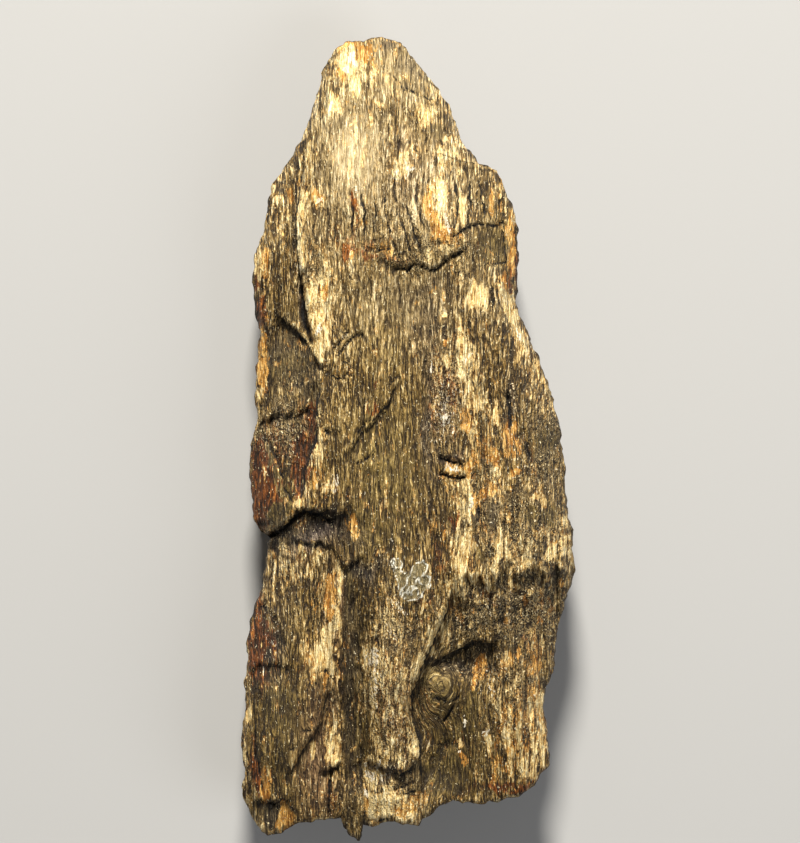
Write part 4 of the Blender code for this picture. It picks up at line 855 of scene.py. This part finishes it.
def front_surface():
    """The front's grid of points and the masks that colour it."""
    sides = [
        spaced(LEFT_EDGE, CELLS_ALONG), spaced(RIGHT_EDGE, CELLS_ALONG),
        spaced(BOTTOM_EDGE, CELLS_ACROSS), spaced(TIP_EDGE, CELLS_ACROSS),
    ]
    plain = fill_between(*sides)
    rounding, gap = edge_drop(plain[..., 0], plain[..., 1], place(
        BOTTOM_EDGE[:-1] + RIGHT_EDGE[:-1] + TIP_EDGE[:0:-1] + LEFT_EDGE[:0:-1]
    ))
    rough_edge = fill_between(*[chipped(side, 201 + 2 * k) for k, side in enumerate(sides)])
    grid = plain + (rough_edge - plain) * np.exp(-gap / 1.2)[..., None]
    x, y = grid[..., 0], grid[..., 1]
    masks = colour_masks(x, y, gap)
    ledges, push_x, push_y, ledge_gap = ledge_relief(x, y)
    cracks, crack_gap = crack_relief(x, y)
    crust, crust_inside, rim_gap = crust_relief(x, y)
    height = body_height(x, y) + ledges + cracks + lump_height(x, y) + grain_height(x, y)
    height += fine_relief(x, y, masks["smooth"], masks["rough"]) * (1 - crust_inside) + crust
    height -= rounding
    border = np.ones(x.shape)
    border[[0, -1], :] = 0
    border[:, [0, -1]] = 0
    points = np.dstack([x + push_x * border, y + push_y * border, height])
    # The relief, how far each point stands above its blurred surroundings, drives painted highlights on raised places
    # and painted shade in hollows.
    masks["relief"] = np.clip((height - blurred(height, 8)) / 0.5, -1, 1)
    masks["line_gap"] = np.minimum(ledge_gap, crack_gap)
    masks["crust"] = crust_inside
    masks["rim_gap"] = rim_gap
    return grid, points, masks


def side_masks(points):
    """Colour masks for the wall and the back, where no picture shows what there is."""
    x, y, z = points[:, 0], points[:, 1], points[:, 2]
    around = x + z * 1.3
    veins = swell(around / 9.0, y / 34.0, 101) + 0.5 * swell(around / 3.0, y / 14.0, 102)
    warm = swell(around / 12.0, y / 40.0, 103) + 0.5 * swell(around / 4.0, y / 18.0, 104)
    masks = {name: np.zeros(len(points)) for name in (*PATCHES, "even")}
    masks["cream"] = 0.7 * soft_step(veins, 0.35, 1.0)
    masks["orange"] = 0.6 * soft_step(warm, 0.4, 1.1)
    masks["rust"] = 0.7 * soft_step(-warm, 0.45, 1.1)
    masks["slate"] = 0.6 * soft_step(-veins, 0.5, 1.1)
    masks["dark"] = 0.4 * soft_step(swell(around / 15.0, y / 25.0, 107), 0.0, 0.8)
    masks["smooth"] = 0.5 * soft_step(swell(around / 14.0, y / 30.0, 105), 0.0, 0.8)
    masks["rough"] = 0.5 * soft_step(swell(around / 10.0, y / 16.0, 106), 0.1, 0.8)
    masks["relief"] = np.zeros(len(points))
    masks["crust"] = np.zeros(len(points))
    masks["line_gap"] = np.full(len(points), FAR)
    masks["rim_gap"] = np.full(len(points), FAR)
    return masks


def quads(a, b, c, d):
    return np.stack([a, b, c, d], -1).reshape(-1, 4)


def grid_quads(grid):
    return quads(grid[:-1, :-1], grid[:-1, 1:], grid[1:, 1:], grid[1:, :-1])


def band(upper, lower):
    return quads(lower, np.roll(lower, -1), np.roll(upper, -1), upper)


def thinning_band(upper, lower):
    """Triangles between a ring and one with half as many points."""
    even, odd, following = upper[0::2], upper[1::2], np.roll(upper, -2)[0::2]
    after = np.roll(lower, -1)
    return np.concatenate([
        np.stack([lower, odd, even], 1),
        np.stack([lower, after, odd], 1),
        np.stack([after, following, odd], 1),
    ])


def stone_surface():
    """Points in millimetres, faces and colour masks of the whole closed body."""
    grid, front, masks = front_surface()
    ring = ring_of(grid)
    foot, along = back_ring(ring)
    rim_height = ring_of(front[..., 2])
    foot_height = back_height(foot[:, 0], foot[:, 1]) + foot_lift(foot[:, 0], foot[:, 1], 0.0)
    wall = (ring, rim_height, foot, foot_height, along)
    total = FULL_ROWS + HALF_ROWS
    rows = [wall_row(row / total * 0.8, *wall) for row in range(1, FULL_ROWS)]
    rows += [wall_row(row / total, *wall)[::2] for row in range(FULL_ROWS, total)]

    across, up = CELLS_ACROSS // 2, CELLS_ALONG // 2
    half = foot[::2]
    foot_bottom = half[: across + 1]
    foot_right = half[across : across + up + 1]
    foot_tip = half[across + up : 2 * across + up + 1][::-1]
    foot_left = np.concatenate([half[2 * across + up :], half[:1]])[::-1]
    back = fill_between(foot_left, foot_right, foot_bottom, foot_tip)
    back_x, back_y = back[..., 0], back[..., 1]
    ribs = 0.16 * (1 + fibres(back_x, back_y, 2.3, 16.0, 111)) + 0.1 * (1 + fibres(back_x, back_y, 1.2, 8.0, 114))
    gap = border_gap(back)
    lift = foot_lift(back_x, back_y, gap) + ribs * smooth(gap / 3)
    back = np.dstack([back, back_height(back_x, back_y) + lift])

    pieces = [front.reshape(-1, 3), *rows, back.reshape(-1, 3)]
    starts = np.cumsum([0] + [len(piece) for piece in pieces])
    front_index = np.arange(starts[1]).reshape(front.shape[:2])
    back_index = np.arange(starts[-2], starts[-1]).reshape(back.shape[:2])
    rings = [ring_of(front_index)]
    rings += [np.arange(start, end) for start, end in zip(starts[1:-2], starts[2:-1])]
    rings.append(ring_of(back_index))
    faces = grid_quads(front_index).tolist()
    for upper, lower in zip(rings, rings[1:]):
        joined = band(upper, lower) if len(upper) == len(lower) else thinning_band(upper, lower)
        faces += joined.tolist()
    faces += grid_quads(back_index)[:, ::-1].tolist()

    points = np.concatenate(pieces)
    sides = side_masks(points[starts[1]:])
    masks = {name: np.concatenate([values.ravel(), sides[name]]) for name, values in masks.items()}
    return points, faces, masks


def grain_attribute(points):
    """Coordinates for the grain pattern: bent round the knot on the front, and following its slope."""
    across, along = knot_coordinates(points[:, 0], points[:, 1])
    on_front = soft_step(points[:, 2], 18.0, 24.0)
    x = points[:, 0] * (1 - on_front) + across * on_front
    y = points[:, 1] * (1 - on_front) + along * on_front
    above = points[:, 2] - body_height(points[:, 0], points[:, 1])
    return np.column_stack([x, y, np.where(above > -2, 0.4 * above, above + 1.2)])


class Nodes:
    """A short way to write shader nodes."""

    def __init__(self, tree):
        self.tree = tree
        self.tree.nodes.clear()

    def add(self, kind, values=None, **settings):
        node = self.tree.nodes.new(kind)
        for name, value in settings.items():
            setattr(node, name, value)
        for name, value in (values or {}).items():
            if isinstance(value, bpy.types.NodeSocket):
                self.tree.links.new(value, node.inputs[name])
            else:
                node.inputs[name].default_value = value
        return node

    def attribute(self, name, output="Fac"):
        return self.add("ShaderNodeAttribute", attribute_name=name).outputs[output]

    def math(self, operation, a, b=0.0, clamp=False):
        return self.add("ShaderNodeMath", {0: a, 1: b}, operation=operation, use_clamp=clamp).outputs[0]

    def vector(self, operation, a, b):
        return self.add("ShaderNodeVectorMath", {0: a, 1: b}, operation=operation).outputs[0]

    def fibres(self, vector, scale):
        """Long cells: the distance to their edges, and a number from -0.5 to 0.5 for each."""
        values = {"Vector": self.scaled(vector, scale), "Scale": 1.0}
        edge = self.add("ShaderNodeTexVoronoi", values, feature="DISTANCE_TO_EDGE").outputs["Distance"]
        cell = self.add("ShaderNodeTexVoronoi", values, feature="F1").outputs["Color"]
        return edge, self.centred(self.add("ShaderNodeSeparateColor", {"Color": cell}).outputs[0])

    def thin_line(self, texture, level):
        """1 along the line where a centred texture has the given level, 0 away from it."""
        away = self.math("ABSOLUTE", self.math("SUBTRACT", texture, 0.5 + level))
        return self.ranged(away, 0.06, 0.02)

    def times(self, a, b):
        return self.math("MULTIPLY", a, b)

    def centred(self, texture):
        return self.math("SUBTRACT", texture, 0.5)

    def total(self, *parts):
        """The sum of its parts, where (value, weight) stands for their product."""
        parts = [self.times(*part) if isinstance(part, tuple) else part for part in parts]
        result = parts[0]
        for part in parts[1:]:
            result = self.math("ADD", result, part)
        return result

    def ranged(self, value, low, high, to_low=0.0, to_high=1.0):
        values = {"Value": value, "From Min": low, "From Max": high, "To Min": to_low, "To Max": to_high}
        return self.add("ShaderNodeMapRange", values).outputs["Result"]

    def scaled(self, vector, scale, offset=(0.0, 0.0, 0.0)):
        values = {"Vector": vector, "Scale": scale, "Location": offset}
        return self.add("ShaderNodeMapping", values).outputs["Vector"]

    def noise(self, vector, scale, detail=2.0, roughness=0.5, distortion=0.0, offset=(0.0, 0.0, 0.0)):
        values = {
            "Vector": self.scaled(vector, scale, offset), "Scale": 1.0, "Detail": detail,
            "Roughness": roughness, "Distortion": distortion,
        }
        return self.add("ShaderNodeTexNoise", values).outputs["Fac"]

    def mix(self, share, low, high, blend="MIX"):
        values = {0: share, 6: low, 7: high}
        return self.add("ShaderNodeMix", values, data_type="RGBA", blend_type=blend).outputs[2]

    def ramp(self, value, stops):
        node = self.add("ShaderNodeValToRGB", {"Fac": value})
        elements = node.color_ramp.elements
        while len(elements) < len(stops):
            elements.new(0.5)
        for element, (position, colour) in zip(elements, stops):
            element.position = position
            element.color = (*colour, 1.0)
        return node.outputs["Color"]


def tone(*display):
    """A colour given as seen on a display, 0 to 255, as the linear colour that shaders use."""
    linear = []
    for value in display:
        share = value / 255
        linear.append(share / 12.92 if share < 0.04045 else ((share + 0.055) / 1.055) ** 2.4)
    return tuple(linear)


def stone_material():
    """Olive-brown stone with flecked streaks, its colours mixed by the mesh's masks."""
    material = bpy.data.materials.new("petrified_wood_stone")
    material.use_nodes = True
    n = Nodes(material.node_tree)
    place_now = n.attribute("grain", "Vector")
    mask = {name: n.attribute(name) for name in (*PATCHES, "even", "relief", "line_gap", "crust", "rim_gap")}

    # The grain's own waviness, in millimetres
    sway = n.add("ShaderNodeTexNoise", {"Vector": n.scaled(place_now, (0.30, 0.06, 0.30)), "Scale": 1.0})
    sway = n.vector("SUBTRACT", sway.outputs["Color"], (0.5, 0.5, 0.5))
    grain = n.vector("ADD", place_now, n.vector("MULTIPLY", sway, (2.2, 4.0, 2.2)))

    # Patterns, in waves per millimetre across, along and through the grain
    broad = n.centred(n.noise(grain, (0.30, 0.05, 0.30), 2.0, 0.5))
    blotch = n.centred(n.noise(grain, (0.42, 0.15, 0.42), 2.0, 0.6, 0.8, (4.0, 1.0, 2.0)))
    island = n.centred(n.noise(grain, (1.05, 0.40, 1.05), 2.0, 0.6, 0.6, (9.0, 5.0, 1.0)))
    thread = n.centred(n.noise(grain, (2.3, 0.20, 2.3), 2.0, 0.6, 0.2, (7.0, 3.0, 0.0)))
    fleck = n.centred(n.noise(grain, (2.0, 0.75, 2.0), 2.0, 0.7, 0.5, (3.0, 9.0, 5.0)))
    speck = n.centred(n.noise(grain, (2.9, 1.5, 2.9), 1.0, 0.6, 0.0, (1.0, 2.0, 8.0)))
    grit = n.centred(n.noise(grain, (3.0, 0.42, 3.0), 1.0, 0.6, 0.0, (5.0, 8.0, 3.0)))

    # Thin pale and dark lines along the grain, and pale curls with dark edges for the rough places
    pale_line = n.thin_line(n.noise(grain, (0.85, 0.10, 0.85), 1.5, 0.5, 0.3, (2.0, 6.0, 7.0)), 0.0)
    dark_line = n.thin_line(n.noise(grain, (0.95, 0.12, 0.95), 1.5, 0.5, 0.3, (6.0, 3.0, 4.0)), 0.0)
    curls = n.noise(grain, (0.9, 0.75, 0.9), 2.0, 0.6, 1.0, (8.0, 1.0, 5.0))

    # Fibres: coarse and fine, each with a tone and a height of its own and a dark gap round it
    coarse_edge, coarse_tone = n.fibres(grain, (0.95, 0.085, 0.95))
    fine_edge, fine_tone = n.fibres(grain, (2.5, 0.23, 2.5))
    gaps = n.math("MAXIMUM", n.ranged(coarse_edge, 0.085, 0.02), n.times(n.ranged(fine_edge, 0.10, 0.02), 0.7))

    weave = n.total((coarse_tone, 0.17), (fine_tone, 0.44), (thread, 0.9), (fleck, 0.5), (broad, 0.6))
    weave = n.total(weave, (grit, 1.7), (pale_line, 0.24), (dark_line, -0.36))
    # The light and dark masks and the relief lift or lower the tone: partly the stone's own tone, partly painted light
    # on upper and raised places and painted shade in hollows, under ledges and on slopes away from the key light.
    weave = n.times(weave, n.total(1.0, (mask["light"], -0.35), (mask["smooth"], -0.22), (mask["dark"], -0.15)))
    weave = n.total(0.5, weave, (mask["relief"], 0.15), (mask["light"], 0.16), (mask["dark"], -0.34))
    base = n.ramp(weave, [
        (0.0, tone(38, 27, 8)), (0.25, tone(86, 64, 25)), (0.5, tone(140, 110, 54)),
        (0.75, tone(192, 161, 102)), (1.0, tone(242, 218, 164)),
    ])
    olive = n.ramp(weave, [
        (0.0, tone(42, 33, 14)), (0.35, tone(94, 78, 40)), (0.7, tone(144, 122, 68)), (1.0, tone(196, 168, 102)),
    ])
    colour = n.mix(n.times(mask["smooth"], 0.9), base, olive)
    # Paler colour where the light mask is: partly the stone's paler tone, partly painted light on upper parts that
    # face the key light.
    pale_and_painted_light = n.ramp(weave, [
        (0.0, tone(70, 54, 30)), (0.35, tone(132, 112, 74)), (0.7, tone(200, 178, 134)), (1.0, tone(248, 232, 194)),
    ])
    colour = n.mix(n.times(mask["light"], 0.75), colour, pale_and_painted_light)
    # Cool grey where the slate mask is: partly the stone's grey, partly painted shade below ledges and in the recess.
    slate = n.ramp(weave, [(0.0, tone(30, 29, 32)), (0.5, tone(82, 78, 78)), (1.0, tone(146, 138, 134))])
    colour = n.mix(n.times(mask["slate"], 0.75), colour, slate)
    pink = n.ramp(weave, [(0.0, tone(66, 44, 32)), (0.5, tone(148, 114, 84)), (1.0, tone(212, 182, 148))])
    colour = n.mix(n.times(mask["pink"], 0.7), colour, pink)

    patchy = n.total((blotch, 1.5), (island, 1.4), (thread, 0.7), (coarse_tone, 0.16))
    rust_share = n.ranged(n.total(mask["rust"], patchy), 0.30, 0.55)
    rust = n.ramp(weave, [
        (0.0, tone(32, 15, 4)), (0.4, tone(98, 50, 12)), (0.7, tone(146, 80, 24)), (1.0, tone(194, 124, 50)),
    ])
    colour = n.mix(n.times(rust_share, 0.95), colour, rust)
    orange = n.ramp(weave, [(0.0, tone(150, 94, 28)), (0.5, tone(212, 156, 74)), (1.0, tone(248, 206, 128))])
    orange_share = n.ranged(n.total(mask["orange"], (patchy, 0.9)), 0.40, 0.47)
    colour = n.mix(n.times(orange_share, 0.9), colour, orange)
    # The relief makes raised places paler, as painted highlight.
    pale = n.total(mask["cream"], patchy, (fleck, 0.5), (mask["relief"], 0.10))
    colour = n.mix(n.times(n.ranged(pale, 0.32, 0.44), 0.65), colour, orange)
    cream = n.ramp(n.total(0.2, (weave, 0.7), (speck, 0.8)), [
        (0.0, tone(138, 98, 44)), (0.3, tone(208, 172, 106)), (0.6, tone(238, 212, 150)),
        (1.0, tone(252, 236, 190)),
    ])
    colour = n.mix(n.times(n.ranged(pale, 0.44, 0.50), 0.95), colour, cream)
    white_share = n.ranged(n.total(mask["white"], (fleck, 1.6), (speck, 1.6), (island, 0.8)), 0.52, 0.62)
    colour = n.mix(n.times(white_share, 0.85), colour, (*tone(248, 238, 214), 1.0))

    # Painted glints: bright flecks that stand for highlights, most where the stone is rough. Then dark pits and gaps,
    # curls, and painted shade in hollows and cracks.
    painted_glint = n.total(speck, (mask["rough"], 0.06), (mask["smooth"], -0.03), (mask["rust"], -0.03))
    painted_glint = n.ranged(painted_glint, 0.16, 0.20)
    colour = n.mix(n.times(painted_glint, 0.8), colour, (*tone(250, 232, 184), 1.0))
    pit = n.total((speck, 0.6), (fleck, 0.6), (mask["rough"], -0.06), (mask["smooth"], 0.03))
    pit = n.ranged(n.total(pit, (mask["even"], 0.06), (mask["light"], 0.03)), -0.12, -0.17)
    colour = n.mix(n.times(pit, 0.8), colour, (*tone(32, 22, 9), 1.0))
    gap_share = n.times(gaps, n.total(0.88, (mask["smooth"], -0.25), (mask["even"], -0.4), (mask["light"], -0.25)))
    colour = n.mix(n.math("MAXIMUM", gap_share, 0.0), colour, (*tone(40, 28, 11), 1.0))
    curled = n.math("MAXIMUM", n.total(mask["rough"], (mask["even"], -0.6)), 0.0)
    dark_curl = n.times(n.times(n.thin_line(curls, 0.11), curled), 0.75)
    colour = n.mix(dark_curl, colour, (*tone(34, 23, 8), 1.0))
    pale_curl = n.times(n.times(n.thin_line(curls, 0.0), curled), 0.38)
    colour = n.mix(pale_curl, colour, (*tone(238, 206, 144), 1.0))
    # Painted shade: darker in the hollows of the relief.
    painted_hollow_shade = n.ranged(n.total(mask["relief"], (thread, 0.8)), -0.2, -0.9)
    colour = n.mix(n.times(painted_hollow_shade, 0.7), colour, (*tone(32, 24, 12), 1.0))
    # Painted shade: near-black along the cracks and at the foot of the sharp ledges, where their gaps lie in shade.
    painted_crack_shade = n.ranged(n.total(mask["line_gap"], (island, 0.9), (fleck, 0.5)), 0.42, 0.22)
    colour = n.mix(n.times(painted_crack_shade, 0.95), colour, (*tone(14, 12, 10), 1.0))

    # The glassy crust: see-into, with pale rims
    glass_tone = n.ramp(n.total(0.5, (fleck, 3.0)), [(0.0, tone(84, 76, 50)), (1.0, tone(166, 154, 118))])
    colour = n.mix(n.times(mask["crust"], 0.6), colour, glass_tone)
    rim = n.ranged(n.total(mask["rim_gap"], (fleck, 0.5)), 0.26, 0.10)
    colour = n.mix(n.times(rim, 0.9), colour, (*tone(236, 232, 214), 1.0))

    roughness = n.ranged(n.total(weave, (fleck, 0.6)), 0.1, 1.0, 0.70, 0.42)
    roughness = n.total(roughness, (mask["crust"], -0.35))

    # Heights in millimetres
    relief = n.total((n.math("MINIMUM", coarse_edge, 0.35), 0.75), (coarse_tone, 0.14), (fine_tone, 0.10))
    relief = n.total(relief, (n.math("MINIMUM", fine_edge, 0.3), 0.40), (thread, 0.5), (fleck, 0.7), (grit, 0.8))
    relief = n.total(relief, (n.times(speck, n.total(0.3, mask["rough"])), 0.8), (pale_line, 0.06), (dark_line, -0.08))
    relief = n.total(relief, (n.times(n.thin_line(curls, 0.0), curled), 0.12))
    relief = n.times(relief, n.total(1.0, (mask["smooth"], -0.35), (mask["even"], -0.35), (mask["light"], -0.2)))
    bump = n.add("ShaderNodeBump", {"Height": relief, "Strength": 1.0, "Distance": MM}).outputs["Normal"]

    values = {"Base Color": colour, "Roughness": roughness, "Normal": bump}
    shader = n.add("ShaderNodeBsdfPrincipled", values)
    shader.inputs["Specular IOR Level"].default_value = 0.3
    n.add("ShaderNodeOutputMaterial", {"Surface": shader.outputs["BSDF"]})
    return material


def make_stone():
    points, faces, masks = stone_surface()
    mesh = bpy.data.meshes.new("petrified_wood_fine")
    mesh.from_pydata((points * MM).tolist(), [], faces)
    mesh.shade_smooth()
    for name, values in masks.items():
        mesh.attributes.new(name, "FLOAT", "POINT").data.foreach_set("value", values.astype(np.float32))
    grain = mesh.attributes.new("grain", "FLOAT_VECTOR", "POINT")
    grain.data.foreach_set("vector", grain_attribute(points).astype(np.float32).ravel())
    mesh.materials.append(stone_material())
    stone = bpy.data.objects.new("petrified_wood_fine", mesh)
    bpy.context.scene.collection.objects.link(stone)
    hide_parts("petrified_wood")
    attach(stone, "root")
    return stone


def make_floor():
    mesh = bpy.data.meshes.new("floor")
    reach = 3.0
    corners = [(-reach, -reach, 0), (reach, -reach, 0), (reach, reach, 0), (-reach, reach, 0)]
    mesh.from_pydata(corners, [], [(0, 1, 2, 3)])
    floor = bpy.data.objects.new("floor", mesh)
    bpy.context.scene.collection.objects.link(floor)
    material = bpy.data.materials.new("floor")
    material.use_nodes = True
    shader = material.node_tree.nodes["Principled BSDF"]
    shader.inputs["Base Color"].default_value = FLOOR_COLOUR
    shader.inputs["Roughness"].default_value = 0.9
    mesh.materials.append(material)


def make_light(name, place_at, size, power, colour=(1.0, 1.0, 1.0)):
    light = bpy.data.lights.new(name, "AREA")
    light.shape = "DISK"
    light.size = size
    light.energy = power
    light.color = colour
    lamp = bpy.data.objects.new(name, light)
    bpy.context.scene.collection.objects.link(lamp)
    lamp.location = place_at
    towards = -lamp.location.normalized()
    lamp.rotation_euler = towards.to_track_quat("-Z", "Y").to_euler()


def make_lights():
    world = bpy.data.worlds.new("studio")
    world.use_nodes = True
    world.node_tree.nodes["Background"].inputs["Color"].default_value = (1.0, 1.0, 1.0, 1.0)
    world.node_tree.nodes["Background"].inputs["Strength"].default_value = 0.14
    bpy.context.scene.world = world
    bpy.context.scene.view_settings.view_transform = "Standard"
    make_light("key", (-0.04, 1.24, 1.04), 0.32, 61.5, (1.0, 0.955, 0.865))
    make_light("fill", (0.88, -0.56, 0.96), 0.96, 6.8, (0.98, 0.99, 1.0))


def make_camera():
    """Straight above the stone, framed as in the picture."""
    view_height = PICTURE_SIZE[1] * PICTURE_STEP * MM
    data = bpy.data.cameras.new("camera")
    data.lens = 240.0
    camera = bpy.data.objects.new("camera", data)
    bpy.context.scene.collection.objects.link(camera)
    rim_height = 0.4 * CREST_HEIGHT
    distance = view_height * data.lens / data.sensor_width
    aim = place((PICTURE_SIZE[0] / 2, PICTURE_SIZE[1] / 2)) * MM
    camera.location = (aim[0], aim[1], rim_height + distance)
    data.clip_end = 10.0
    bpy.context.scene.camera = camera


make_stone()
make_floor()
make_lights()
make_camera()
